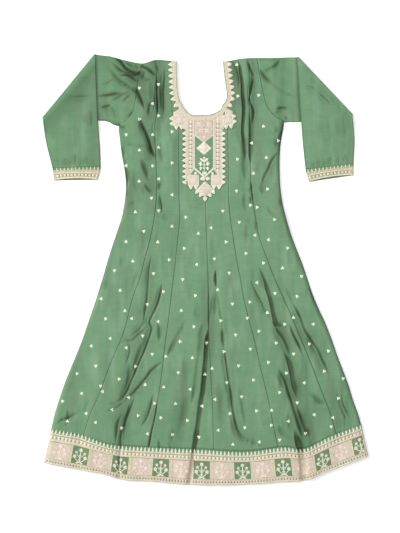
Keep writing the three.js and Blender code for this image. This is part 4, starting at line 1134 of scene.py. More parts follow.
def upper_rings(side, share, layer, count):
    """From the armhole to the fold, flat where the folded-over part will lie on it."""
    spec = SLEEVES[side]
    outward = spec["outward"]
    start = on_seam(ARMHOLES[side], np.linspace(0, UNDERARM_ROW, ROW_POINTS))
    start[:, 0] += outward * ARMHOLE_GAP[side]
    inner, outer = np.array(spec["fold"], float)
    square = np.array([outer[1] - inner[1], inner[0] - outer[0]]) * outward
    square = square / np.hypot(*square)
    axis = np.linspace(inner, outer, ROW_POINTS) - square * FOLD_INSET
    under = curve(UNDERARM[side])
    inner_edge = curve([spec[key][0][::-1] for key in ("fold", "halfway", "seam")])
    shares = np.linspace(0, 1, ROW_POINTS)
    rings = []
    for t in np.arange(count) / count:
        row = mix(start, axis, t)
        top = shoulder_drop(row[:, 0]) - mix(start[0, 1], axis[0, 1], t)
        bottom = under(row[:, 0]) - mix(start[-1, 1], axis[-1, 1], t)
        if t > 0:
            row[:, 1] += (mix(top * (1 - shares) ** 2, bottom, shares**2)) * (1 - t)
        spot = row_points(row, share)
        clear = outward * (inner[0] - spot[:, 0]) - FLAT_BESIDE[0]
        height, dip = front_height(spot[:, 0], spot[:, 1])
        raised = (height - FRONT_LOWEST - 0.4) * ease(clear / FLAT_BESIDE[1])
        beside = np.clip(outward * (inner_edge(spot[:, 1]) - spot[:, 0]), 0, None)
        # painted shadow of the folded-over part on the upper sleeve
        shadow_beside = SHADOW_BESIDE[side] * bell(beside, SHADOW_BESIDE_WIDE) * np.clip(layer, 0, 1)
        flat = LAYERS / 2 + rounded(share, np.hypot(*(row[-1] - row[0])), layer)
        z = flat + np.where(layer > 0, np.maximum(raised, 0), 0)
        rings.append((spot, z, dip * ease((clear + HIDDEN[0]) / HIDDEN[1]) + shadow_beside))
    return rings, axis, square


def fold_rings(axis, square, share, layer, count):
    """Half a turn about the fold's line."""
    width = np.hypot(*(axis[-1] - axis[0]))
    spot = row_points(axis, share)
    flat = LAYERS / 2 + rounded(share, width, layer)
    rings = []
    for angle in np.linspace(0, math.pi, count + 1):
        out = (FOLD_AXIS - flat) * math.sin(angle)
        z = FOLD_AXIS - (FOLD_AXIS - flat) * math.cos(angle)
        # painted shade in the turn of the fold
        rings.append((spot + square * out[:, None], z, 0.25 * math.sin(angle) + 0 * share))
    return rings


def folded_part(side, axis, tuck=0.0):
    """The folded-over part as a surface: on the upper sleeve first, then down on the table."""
    spec = SLEEVES[side]
    stops = np.array([[axis[0], axis[-1]], *(spec[key] for key in ("halfway", "seam", "edge"))], float)
    at = np.array([0, 0.5, 1, CUFF_END])
    path = [[curve(np.c_[at, stops[:, end, k]]) for k in (0, 1)] for end in (0, 1)]
    under = curve(UNDERARM[side])

    def surface(down, share, layer):
        down, share, layer = np.broadcast_arrays(down, share, layer)
        (inner_x, inner_drop), (outer_x, outer_drop) = ((f(down), g(down)) for f, g in path)
        x = mix(inner_x, outer_x, share)
        drop = mix(inner_drop, outer_drop, share)
        below = np.clip((down - 1) / (CUFF_END - 1), 0, 1)
        drop = drop - np.where(layer < 0, tuck * below * share * (1 - share) * 4, 0)
        past = (drop - under(x) - STEP_DOWN[0]) / STEP_DOWN[1]
        rest = FOLDED_OVER * (1 - ease(past))
        fold, dip = folds_at(x, drop, SLEEVE_FOLDS[side])
        sides = ease(share * 4) * ease((1 - share) * 4)
        full = SLEEVE_PUFF * sides * ease(down * 5) * (0.35 + 0.65 * ease((1 - down) * 4))
        full = full + 0.5 * ripple(x, drop, 34, 80, 9) * ease(down * 5)
        swell = np.maximum(full + fold * ease(share * 12) * ease((1 - share) * 12), 0)
        width = np.hypot(outer_x - inner_x, outer_drop - inner_drop)
        # The back layer is on top here, because the sleeve is turned over.
        top = layer < 0
        z = rest + LAYERS / 2 + rounded(share, width, -layer) + np.where(top, swell, 0)
        # painted shade along the sleeve's edges, patchy over the sleeve and stronger near the fold
        rim = SLEEVE_EDGE_SHADE[0] * bell(np.minimum(share, 1 - share) * width, SLEEVE_EDGE_SHADE[1])
        mottled = 1 + 0.6 * ripple(x, drop, 40, 70, 11) + 2.0 * ease(1 - 2.2 * down)
        tone = SLEEVE_PAINTED_SHADE[side] * mottled + rim
        return x, drop, z, np.where(top, dip + tone, 0) * ease(down * 8)

    return surface


def rings_of(surface, share, layer, downs):
    x, drop, z, dip = surface(downs[:, None], share[None, :], layer[None, :])
    return [(np.stack([x[i], drop[i]], axis=-1), z[i], dip[i]) for i in range(len(downs))]


# %% Sew the sleeves
UPPER_RINGS = 56
FOLD_TURNS = 10
LOWER_RINGS = 96
CUFF_RINGS = 12
CUFF_DEEP = 39
CUFF_SEAM = 0.0001
PLAIN_RINGS = 3
SHADED_LAYER = 2


def tube_piece(name, rings, finishes, outward, **more):
    """A flattened tube: its inside is pulled in towards the layer opposite by one wall."""
    spots, z, dip = (np.stack(part) for part in zip(*rings))
    outside = laid(spots[..., 0], spots[..., 1], z)
    centre = outside.mean(axis=1, keepdims=True)
    middle = (outside + outside[:, ::-1]) / 2
    gap = np.linalg.norm(outside - middle, axis=-1, keepdims=True)
    pull = np.clip(WALL * MM / np.maximum(gap, 1e-6), 0, MOST_WALL)
    inside = mix(mix(outside, middle, pull), centre, TO_CENTRE)
    cuts[name] = grid_cut(np.concatenate([outside, outside[:, :1]], axis=1))
    return cloth_tube(name, outside, inside, finishes, outward > 0, dip=dip, **more)


sleeves, cuffs, cuff_parts = {}, {}, {}
for side, spec in SLEEVES.items():
    share, layer = ring_shares()
    upper, axis, square = upper_rings(side, share, layer, UPPER_RINGS)
    turn = fold_rings(axis, square, share, layer, FOLD_TURNS)
    down = np.linspace(0, 1, LOWER_RINGS + 1)[1:] * (1 - CUFF_SEAM)
    lower = rings_of(folded_part(side, axis), share, layer, down)
    sleeves[side] = tube_piece(f"{side}_sleeve", upper + turn + lower, [shaded_sleeve_silk], spec["outward"])
    cuff_parts[side] = folded_part(side, axis, tuck=5)
    cuff = rings_of(cuff_parts[side], share, layer, np.linspace(1 + CUFF_SEAM, CUFF_END, CUFF_RINGS + 1))
    cuffs[side] = tube_piece(f"{side}_cuff", cuff, [shaded_sleeve_silk, tan_ground, shaded_under_silk], spec["outward"],
                             strand=np.repeat(np.linspace(0, CUFF_DEEP * MM, CUFF_RINGS + 1), len(share)))
    ring_of, spot_of = np.divmod(np.arange(CUFF_RINGS * len(share)), len(share))
    # the under layer, seen where the tuck shows it, and the hidden faces take the darker copy of the silk as
    # painted shade
    kind = np.where(spot_of > ACROSS_SLEEVE, np.where(ring_of < PLAIN_RINGS, 0, 1), SHADED_LAYER)
    polygons = cuffs[side].data.polygons
    hidden = np.full(len(polygons) - len(kind), SHADED_LAYER)
    polygons.foreach_set("material_index", np.r_[kind, hidden].astype(np.int32))
    print(sleeves[side].name, "faces:", len(sleeves[side].data.polygons))

# %% [markdown]
# ## The yoke and the rolled piping
# The yoke is a stiffened facing of the same silk, sewn round the neck and down the placket. It
# is no grid, so its outline is filled with points and triangulated by Blender's own Delaunay
# routine. The neck is bound with a thin rolled strip, which is swept as one closed loop round
# the front and the back.

# %% Neck edge and yoke
YOKE_CLOTH = [(-102, 1), (-101, 90), (-97, 150), (-96, 188), (-64, 192), (-63, 338), (-52, 365),
              (-28, 369), (-3, 399), (22, 369), (45, 365), (56, 338), (56, 192), (86, 186),
              (86, 150), (80, 90), (73, 0)]
YOKE_THICK = 0.6
YOKE_GAP = 0.1
YOKE_GRAIN = 3.0


def evenly(path, step):
    runs = np.r_[0, np.cumsum(np.hypot(*np.diff(path, axis=0).T))]
    at = np.linspace(0, runs[-1], max(2, round(runs[-1] / step)) + 1)
    return np.c_[np.interp(at, runs, path[:, 0]), np.interp(at, runs, path[:, 1])]


def neck_edge(step):
    """The neck's edge from the left shoulder round to the right one."""
    rows = np.linspace(0, NECK_ROW, EDGE_POINTS)
    x = np.linspace(NECK_BOTTOM[0][0], NECK_BOTTOM[-1][0], 60)[1:-1]
    bottom = np.c_[x, neck_drop(x)]
    return evenly(np.concatenate([on_seam(2, rows), bottom, on_seam(4, rows[::-1])]), step)


def heading(path):
    """The way that a path runs at each of its points."""
    ahead = np.gradient(path, axis=0)
    return ahead / np.hypot(*ahead.T)[:, None]


def shifted(path, distance):
    """A path moved sideways: + is outwards from the neck."""
    ahead = heading(path)
    return path + distance * np.c_[-ahead[:, 1], ahead[:, 0]]


def inside_outline(outline, x, drop):
    crossed = np.zeros(np.shape(x), bool)
    for (ax, ad), (bx, bd) in zip(outline, np.roll(outline, -1, axis=0)):
        if ad != bd:
            hit = ((ad > drop) != (bd > drop)) & (x < (bx - ax) * (drop - ad) / (bd - ad) + ax)
            crossed ^= hit
    return crossed


def cut_cloth(outline, grain):
    """Points and triangles that fill an outline."""
    low, high = outline.min(0), outline.max(0)
    x, drop = np.meshgrid(np.arange(low[0], high[0], grain), np.arange(low[1], high[1], grain))
    x, drop = x.ravel(), drop.ravel()
    ring = np.concatenate([outline, outline[:1]])
    keep = inside_outline(outline, x, drop) & (np.abs(reach(ring, x, drop)[0]) > grain * 0.55)
    points = np.concatenate([outline, np.c_[x, drop][keep]])
    count = len(outline)
    result = delaunay_2d_cdt([Vector(p) for p in points], [], [list(range(count))], 1, 1e-5)
    return np.array([tuple(p) for p in result[0]]), np.array(result[2]), count


def yoke_height(x, drop):
    height, dip = front_height(x, drop)
    return height + YOKE_THICK + YOKE_GAP, dip


neck = neck_edge(2.5)
yoke_outline = np.concatenate([shifted(neck, 0.5), evenly(np.array(YOKE_CLOTH, float)[::-1], 3.0)])
plan, triangles, rim = cut_cloth(yoke_outline, YOKE_GRAIN)
height, dip = yoke_height(plan[:, 0], plan[:, 1])
count = len(plan)
loop = np.arange(rim)
after = np.roll(loop, -1)
walls = np.concatenate([np.stack([loop, loop + count, after], -1),
                        np.stack([after, loop + count, after + count], -1)])
p = laid(plan[:, 0], plan[:, 1], height)
a, b, c = (p[triangles[:, k]] for k in range(3))
if np.cross(b - a, c - a)[:, 2].mean() < 0:
    triangles = triangles[:, ::-1]
# the yoke carries the front's painted shade, made a little darker
yoke = make_piece("neck_yoke", np.concatenate([p, laid(plan[:, 0], plan[:, 1], height - YOKE_THICK)]),
                  np.concatenate([triangles, triangles[:, ::-1] + count, walls]), [green_silk],
                  dip=np.r_[dip, dip] + 0.05)
cuts[yoke.name] = (float(np.ptp(plan[:, 0])) * MM, float(np.ptp(plan[:, 1])) * MM,
                   float(np.linalg.norm(np.cross(b - a, c - a), axis=1).sum() / 2))
print("yoke triangles:", len(yoke.data.polygons), "cut:", np.round(cuts[yoke.name], 3))

# %% Rolled piping round the neck
PIPING = 1.1
PIPING_SIDES = 8
piping_finish = thread_finish("grey green piping", (178, 182, 162), (160, 166, 146), rib=0.002)


def swept(name, route, finish):
    """A round strip along a closed route of 3-D points, in millimetres."""
    along = np.roll(route, -1, axis=0) - np.roll(route, 1, axis=0)
    along /= np.linalg.norm(along, axis=1)[:, None]
    side = np.cross(along, [0, 0, 1.0])
    weak = np.linalg.norm(side, axis=1) < 0.2
    side[weak] = [1, 0, 0]
    side /= np.linalg.norm(side, axis=1)[:, None]
    up = np.cross(side, along)
    turn = np.arange(PIPING_SIDES) * 2 * math.pi / PIPING_SIDES
    cos, sin = np.cos(turn)[None, :, None], np.sin(turn)[None, :, None]
    ring = route[:, None] + PIPING * (side[:, None] * cos + up[:, None] * sin)
    points = laid(ring[..., 0], -ring[..., 1], ring[..., 2])
    n = len(route)
    spot = np.arange(n)[:, None] * PIPING_SIDES + np.arange(PIPING_SIDES)
    right = np.roll(spot, -1, axis=1)
    quads = np.stack([spot, right, np.roll(right, -1, axis=0), np.roll(spot, -1, axis=0)], -1).reshape(-1, 4)
    runs = np.arange(n)[:, None] * 0.0025 + 0 * turn
    return make_piece(name, points, quads, [finish], strand=runs)


INSIDE_NECK = 1.4
PIPING_LIFT = 0.9
SHOULDER_ROLL = 1.2
front_neck = shifted(neck_edge(3.0), -INSIDE_NECK)
neck_z = front_height(front_neck[:, 0], front_neck[:, 1])[0] + PIPING_LIFT
over = [(SHOULDER_ROLL * math.sin(a), 0.5 + 0.5 * math.cos(a)) for a in np.linspace(0.5, math.pi - 0.5, 4)]
back_z = PIPING + 0.05


def over_shoulder(spot, top):
    return [(spot[0], -spot[1] + out, mix(back_z, top, up)) for out, up in over]


route = [(x, -drop, z) for (x, drop), z in zip(front_neck, neck_z)]
route += over_shoulder(front_neck[-1], neck_z[-1])
route += [(x, -drop, back_z) for x, drop in front_neck[::-1]]
route += over_shoulder(front_neck[0], neck_z[0])[::-1]
piping = swept("neck_piping", np.array(route), piping_finish)
print("piping points:", len(route))

# %% [markdown]
# ## Needlework
# All the motifs are satin stitch and knots: small domes of thread, pointed or round, raised
# lines and padded patches. Each stitch is made once, as an array of points, and stamped wherever
# the design wants it. The design is drawn flat in its own u and v, as on an embroiderer's frame,
# and only laid on the cloth at the very end, so a straight band can follow a curved hem.

# %% Stitches and a frame
UP, DOWN = -math.pi / 2, math.pi / 2
PAD_EDGE = 0.04
SEWN_ABOVE = 0.03
UNDER_SHARE = 0.6


def leaf(long, wide, rise=0.8, steps=5, ribs=4):
    """A pointed satin leaf from its base at (0, 0) to its tip at (long, 0)."""
    t = np.linspace(0.03, 0.97, steps + 1)[:, None]
    c = np.linspace(-1, 1, ribs + 1)[None, :]
    a = long * t + 0 * c
    b = wide / 2 * np.sin(np.pi * t**0.7) * c
    h = rise * np.sqrt(1 - c**2) * np.sqrt(np.sin(np.pi * t))
    return np.stack([a, b, h, a], -1).reshape(-1, 4), grid_triangles(steps + 1, ribs + 1)


def dot(radius, rise=0.8, sides=8):
    """A knot: a middle point and two rings."""
    turn = np.arange(sides) * 2 * math.pi / sides
    points = [(0, 0, rise, 0)]
    for r, h in ((0.62 * radius, 0.8 * rise), (radius, 0)):
        points += [(r * math.cos(a), r * math.sin(a), h, r * math.cos(a)) for a in turn]
    inner = 1 + np.arange(sides)
    after = 1 + (np.arange(sides) + 1) % sides
    faces = np.concatenate([np.stack([0 * inner, inner, after], -1),
                            np.stack([inner, inner + sides, after + sides], -1),
                            np.stack([inner, after + sides, after], -1)])
    return np.array(points), faces


def together(*placed):
    """One stitch from several: each is (stitch, along, across, turn)."""
    points, faces, count = [], [], 0
    for (stitch, stitch_faces), along, across, turn in placed:
        a, b = stitch[:, 0], stitch[:, 1]
        moved = stitch.copy()
        moved[:, 0] = along + a * math.cos(turn) - b * math.sin(turn)
        moved[:, 1] = across + a * math.sin(turn) + b * math.cos(turn)
        points.append(moved)
        faces.append(stitch_faces + count)
        count += len(stitch)
    return np.concatenate(points), np.concatenate(faces)


class Needlework:
    """Stitches gathered on a flat frame, then laid on the cloth as one mesh."""

    def __init__(self):
        self.points, self.faces, self.threads, self.count = [], [], [], 0

    def add(self, points, faces, thread):
        points = points.reshape(-1, 4)
        self.points.append(points)
        self.faces.append(faces + self.count)
        self.threads += [thread] * len(faces)
        self.count += len(points)

    def stamp(self, stitch, spots, turns, thread):
        points, faces = stitch
        spots = np.atleast_2d(np.array(spots, float))
        turns = np.broadcast_to(np.asarray(turns, float), len(spots))[:, None]
        a, b = points[:, 0], points[:, 1]
        u = spots[:, :1] + a * np.cos(turns) - b * np.sin(turns)
        v = spots[:, 1:] + a * np.sin(turns) + b * np.cos(turns)
        h, a = (np.broadcast_to(part, u.shape) for part in (points[:, 2], a))
        many = (faces[None] + (np.arange(len(spots)) * len(points))[:, None, None]).reshape(-1, 3)
        self.add(np.stack([u, v, h, a], -1), many, thread)

    def outlined(self, stitch, spots, turns, thread, margin=1.7):
        """A stitch with a flat dark outline round it, which shows it up against the silk."""
        points, faces = stitch
        low, high = points[:, :2].min(0), points[:, :2].max(0)
        middle, grow = (low + high) / 2, 1 + 2 * margin / (high - low)
        wider = points.copy()
        wider[:, :2] = middle + (points[:, :2] - middle) * grow
        wider[:, 2] *= 0.25
        self.stamp((wider, faces), spots, turns, thread="shade")
        self.stamp(stitch, spots, turns, thread=thread)

    def line(self, path, wide, thread="cream", rise=0.7, step=3.0):
        path = evenly(smooth_path(path), step)
        ahead = heading(path)
        across = np.c_[-ahead[:, 1], ahead[:, 0]]
        c = np.array([-1, -0.6, 0, 0.6, 1])
        spots = path[:, None] + across[:, None] * (c * wide / 2)[None, :, None]
        h = np.broadcast_to(rise * np.sqrt(1 - c**2), spots.shape[:2])
        strand = np.broadcast_to(np.arange(len(path))[:, None] * step, h.shape)
        self.add(np.concatenate([spots, h[..., None], strand[..., None]], -1),
                 grid_triangles(len(path), len(c)), thread)

    def frame(self, corners, wide, thread):
        corners = np.array(corners, float)
        for a, b in zip(corners, np.roll(corners, -1, axis=0)):
            self.line([a, b], wide, thread)

    def fill(self, corners, rise, cells, thread="blush"):
        """A padded patch between four corners, given in order round it."""
        a, b, c, d = np.array(corners, float)
        s = np.linspace(0, 1, cells + 1)
        s = np.r_[0, PAD_EDGE, s[1:-1], 1 - PAD_EDGE, 1]
        across, down = s[None, :, None], s[:, None, None]
        spots = mix(mix(a, b, across), mix(d, c, across), down)
        edge = np.minimum.outer(np.minimum(s, 1 - s), np.minimum(s, 1 - s))
        h = rise * np.clip(edge / PAD_EDGE, 0, 1)
        self.add(np.concatenate([spots, h[..., None], spots[..., :1]], -1),
                 grid_triangles(len(s), len(s)), thread)

    def sewn(self, name, place, under=False):
        """Lay the stitches on the cloth: place(u, v) gives x, drop, height and painted shade."""
        points = np.concatenate(self.points)
        x, drop, height, dip = place(points[:, 0], points[:, 1])
        rise = points[:, 2] + SEWN_ABOVE
        spots = laid(x, drop, height - UNDER_SHARE * rise if under else height + rise)
        faces = np.concatenate(self.faces)
        a, b, c = (spots[faces[:, k]] for k in range(3))
        square = np.cross(b - a, c - a)
        solid = np.linalg.norm(square, axis=1) > 1e-10
        wrong = (square[:, 2] < 0) != under
        faces[wrong] = faces[wrong][:, ::-1]
        used = sorted(set(self.threads))
        kind = np.array([used.index(t) for t in self.threads])
        piece = make_piece(name, spots, faces[solid], [THREADS[t] for t in used], kind[solid],
                           dip=dip, strand=points[:, 3] * MM)
        print(name, "triangles:", len(piece.data.polygons))
        return piece


def bloom(petals, long, wide, rise=0.8):
    turns = np.arange(petals) * 2 * math.pi / petals
    petal = leaf(long, wide, rise, 4, 4)
    return together(*[(petal, 0.3 * math.cos(a), 0.3 * math.sin(a), a) for a in turns])


def in_row(u, v):
    """Spots side by side at the same v."""
    return np.c_[u, np.full(len(u), v)]


def in_column(u, v):
    """Spots one below the other at the same u."""
    return np.c_[np.full(len(v), u), v]


# %% [markdown]
# ## The band round the hem
# From the top down: a comb of small leaves, a line, a row of white beads, a line, squares that
# are blush and green in turn, a line, a row of knots and the edge. Each green square holds a
# little plant with five heads, a common motif of block prints and zari borders, and each blush
# one holds its pale shadow.

# %% Stitches of the border
BEAD_PITCH = 11.2
FOOT_PITCH = 8.4
# v, width and thread of the lines that run all along
BORDER_LINES = [(13.8, 3.0, "cream"), (16.9, 1.6, "gold"), (28.8, 2.6, "cream"), (30.9, 1.3, "gold"),
                (80.4, 1.0, "gold"), (82.0, 2.4, "cream"), (94.2, 3.0, "cream")]


def plant(work, u, top, thread):
    """A small plant with five heads, in a square about 49 mm high."""
    def at(du, dv):
        return (u + du, top + dv)

    work.line([at(0, 13), at(0, 45)], 2.6, thread)
    for way in (-1, 1):
        work.line([at(0, 43), at(8 * way, 39), at(14 * way, 33)], 2.3, thread)
        work.line([at(0, 32), at(5 * way, 27), at(10 * way, 21)], 2.0, thread)
        work.stamp(leaf(11, 4.6), [at(1 * way, 44)], DOWN - way * 1.3, thread)
    work.stamp(bloom(6, 6.2, 4.6), [at(0, 8.5), at(-15.5, 28.5), at(15.5, 28.5)], UP, thread)
    work.stamp(bloom(5, 4.8, 3.8), [at(-12, 16.5), at(12, 16.5)], UP, thread)
    work.stamp(leaf(6, 3.2), [at(0, 26), at(0, 26), at(0, 38), at(0, 38)], [UP - 0.9, UP + 0.9] * 2, thread)


def border_stitches():
    work = Needlework()
    comb = together((leaf(15.5, 6.4, 1.0), -1.5, 0, 0), (dot(1.9, 0.8), 0, -4.8, 0))
    beads = np.arange(u_left + 5, u_right - 4, BEAD_PITCH)
    feet = np.arange(u_left + 3, u_right - 3, FOOT_PITCH)
    work.outlined(comb, in_row(beads, 12.6), UP, "ivory", 0.5)
    for v, wide, thread in BORDER_LINES:
        work.line([(u_left + 1.5, v), (u_right - 1.5, v)], wide, thread, step=6)
    between = beads[:-1] + BEAD_PITCH / 2
    work.stamp(leaf(9, 6.4), in_row(beads, 18.0), DOWN, "ivory")
    work.stamp(leaf(6.5, 2.4, 0.5), in_row(between, 19.4), DOWN + 0.18, "shade")
    work.stamp(dot(0.9, 0.9, 6), in_row(between, 16.6), 0, "shade")
    work.stamp(dot(2.2), in_row(feet, 87.6), 0, "cream")
    work.stamp(leaf(7, 2.4, 0.6), in_row(feet[:-1] + FOOT_PITCH / 2, 91.2), UP + 0.12, "shade")
    top, bottom = SQUARES
    for u in green_centres:
        for half, wide in ((GREEN_HALF + 1.4, 2.4), (GREEN_HALF + 8.0, 2.0)):
            for side in (u - half, u + half):
                if side < u_right - 2:
                    work.line([(side, top - 1), (side, bottom + 0.5)], wide)
        dots = np.arange(top + 2.5, bottom, 5.2)
        for side in (u - (GREEN_HALF + 4.7), u + (GREEN_HALF + 4.7)):
            if side < u_right - 2:
                work.stamp(dot(1.9, 0.6, 6), in_column(side, dots), 0, "cream")
        plant(work, u, top + 0.5, "ivory")
    for u in np.array([*green_centres, green_centres[-1] + PITCH]) - PITCH / 2:
        if u_left + 20 < u < u_right - 20:
            plant(work, u, top + 0.5, "rose")
    return work


def on_front_border(u, v):
    x, drop = on_border(u, lifted(u, v, False))
    return x, drop, *border_front_height(x, drop)


def under_back(x, drop):
    return x, drop, np.full(np.shape(x), BACK_LOW), 0 * x


def under_back_border(u, v):
    return under_back(*on_border(u, v))


border_work = border_stitches()
hem_stitches_front = border_work.sewn("hem_stitches_front", on_front_border)
hem_stitches_back = border_work.sewn("hem_stitches_back", under_back_border, under=True)

# %% [markdown]
# ## Cuffs to match
# A cuff is the border again, without its squares: the comb, the beads between two lines and the
# edge. It is drawn on the same frame and laid on the turned-over layer of the sleeve.

# %% Stitches of the cuffs
CUFF_WIDE = 132
CUFF_MARGIN = 0.012
CUFF_LINES = [(12.6, 1.6, "tan"), (20.2, 2.6, "ivory"), (22.6, 1.2, "gold"), (32.2, 1.2, "gold"),
              (35.6, 4.2, "ivory")]


def cuff_stitches():
    work = Needlework()
    comb = together((leaf(13.5, 4.8, 1.0), -1, 0, 0), (dot(1.8, 0.8), 0, -4.6, 0))
    beads = np.arange(5, CUFF_WIDE - 3, BEAD_PITCH - 0.6)
    between = beads[:-1] + 5.3
    work.outlined(comb, in_row(beads, 12.0), UP, "cream", 0.5)
    work.stamp(dot(2.4, 0.5), in_row(beads, 14.6), 0, "blush")
    for v, wide, thread in CUFF_LINES:
        work.line([(1.5, v), (CUFF_WIDE - 1.5, v)], wide, thread)
    work.stamp(leaf(9.0, 4.6, 0.4), in_row(between, 23.2), DOWN, "gold")
    work.stamp(leaf(6.0, 2.4, 0.7), in_row(between, 24.2), DOWN, "shade")
    work.stamp(dot(3.6, 0.9), in_row(beads, 27.4), 0, "ivory")
    return work


def on_cuff(side):
    def place(u, v):
        share = CUFF_MARGIN + (1 - 2 * CUFF_MARGIN) * np.asarray(u) / CUFF_WIDE
        down = 1 + (CUFF_END - 1) * np.asarray(v) / CUFF_DEEP
        return cuff_parts[side](down, share, np.full(np.shape(share), -1.0))

    return place


cuff_work = cuff_stitches()
cuff_threads = {side: cuff_work.sewn(f"cuff_stitches_{side}", on_cuff(side)) for side in SLEEVES}

# %% [markdown]
# ## The yoke's embroidery
# Round the neck runs a blush band with cream leaves that point away from it. The placket has
# beads between two ribs, leaves down both sides, squares at its corners, a diamond and a spray
# of flowers on open green, and it ends in a pointed tip.

# %% Stitches of the yoke
LEAF_PITCH = 16.6
PLACKET_X = -3.4
FIRST_LEAF = 9
NECK_LEAVES = 8
BESIDE_NECK = [
    [(-92, 148), (-68, 134), (-60, 164), (-92, 164)], [(-66, 140), (-42, 156), (-46, 200), (-64, 196)],
    [(79, 144), (57, 134), (50, 160), (80, 160)], [(58, 140), (32, 157), (36, 200), (54, 196)],
]
spear = together((leaf(14.5, 11.6, 1.4, 6), -1.0, 0, 0), (dot(2.6, 0.9), 1.6, -4.6, 0),
                 (dot(2.6, 0.9), 1.6, 4.6, 0))


def off_middle(half):
    """x of a point so far to the right of the placket's middle line."""
    return PLACKET_X + half


def diamond(x, drop, half, tall):
    return [(x, drop - tall), (x + half, drop), (x, drop + tall), (x - half, drop)]


def corner_square(work, x, drop, half, turn, leaves):
    """A blush square with a flower, and leaves on the sides that face outwards."""
    c, s = math.cos(turn), math.sin(turn)

    def at(a, b):
        return (x + a * c - b * s, drop + a * s + b * c)

    for angle in leaves:
        for shift in (-0.52, 0.5):
            a = math.radians(angle)
            out, side = half - 0.5, shift * half
            spot = at(out * math.cos(a) - side * math.sin(a), out * math.sin(a) + side * math.cos(a))
            work.outlined(spear, [spot], a + turn, "ivory")
    corners = [at(-half, -half), at(half, -half), at(half, half), at(-half, half)]
    work.fill(corners, 0.6, 6)
    work.frame(corners, 2.6, "ivory")
    work.stamp(bloom(6, half * 0.62, half * 0.42, 1.1), [at(0, 0)], 0.4, "rose")
    spots = [at(0.56 * half * a, 0.56 * half * b) for a in (-1, 1) for b in (-1, 1)]
    work.stamp(dot(1.6, 1.0), spots, 0, "mauve")
    work.stamp(dot(1.5, 1.3), [at(0, 0)], 0, "mauve")
    if len(leaves) == 2:
        for number in range(8):
            a = number * math.pi / 4 + 0.4
            rim = half * (0.62 if number % 2 else 0.8)
            work.stamp(leaf(5.5, 2.0, 0.9), [at(rim * math.cos(a), rim * math.sin(a))], a + turn, "gold")


def neck_band(work):
    edge = neck_edge(2.0)
    for corners in BESIDE_NECK:
        work.fill(corners, 0.35, 4, "blush")
    work.line(shifted(edge, 5.4), 8.6, "blush", 0.6)
    work.line(shifted(edge, 1.5), 2.9, "cream", 0.8)
    work.line(shifted(edge, 10.0), 2.6, "cream", 0.8)
    beads = evenly(shifted(edge, 5.4), 6.0)
    work.stamp(dot(1.7, 1.1, 6), beads, 0, "cream")
    spots = evenly(shifted(edge, 10.2), 1.0)
    ahead = np.gradient(spots, axis=0)
    turns = np.arctan2(ahead[:, 0], -ahead[:, 1])
    for side in (-1, 1):
        for drop in FIRST_LEAF + LEAF_PITCH * np.arange(NECK_LEAVES):
            same_side = (spots[:, 0] < PLACKET_X) == (side < 0)
            i = np.argmin(np.abs(spots[:, 1] - drop) + np.where(same_side, 0, 1e3))
            work.outlined(spear, [spots[i]], turns[i], "ivory")
            between = min(i + 8, len(spots) - 1)
            work.stamp(dot(2.3, 1.2, 6), [shifted(spots, 1.6)[between]], 0, "shade")


def placket(work):
    x = off_middle
    bead = together((leaf(8.0, 4.8, 1.0), -4.0, 0, 0))
    drops = 209 + 15.7 * np.arange(10)
    beads = 176 + 11.7 * np.arange(13)
    for way, turn in ((-1, math.pi), (1, 0)):
        work.outlined(spear, in_column(x(51.0 * way), drops), turn, "ivory")
        work.stamp(dot(2.4, 1.3, 6), in_column(x(55.4 * way), drops[:-1] + 7.8), 0, "shade")
        work.stamp(dot(1.3, 1.0, 6), in_column(x(49.6 * way), 196 + 7.4 * np.arange(20)), 0, "gold")
        outer, inner = (x(44.5 * way), x(53.5 * way)), (x(27 * way), x(45 * way))
        work.fill([(outer[0], 172), (outer[1], 182), (outer[1], 352), (outer[0], 346)], 0.5, 10)
        work.line([(x(52.8 * way), 198), (x(52.8 * way), 352)], 1.8, "mauve")
        work.fill([(inner[0], 163), (inner[1], 168), (inner[1], 336), (inner[0], 312)], 0.45, 12)
        for half, top, bottom, wide, thread in (
            (44.6, 172, 334, 1.4, "gold"), (34.4, 168, 320, 1.2, "gold"),
            (29.8, 166, 314, 4.6, "blush"), (27.4, 214, 310, 2.0, "ivory"),
        ):
            work.line([(x(half * way), top), (x(half * way), bottom)], wide, thread)
        work.stamp(bead, in_column(x(39.4 * way), beads), DOWN, "mint")
        for shift in (-3.0, 3.0):
            work.stamp(dot(1.9, 1.3, 6), in_column(x(39.4 * way + shift), beads[:-1] + 5.8), 0, "shade")


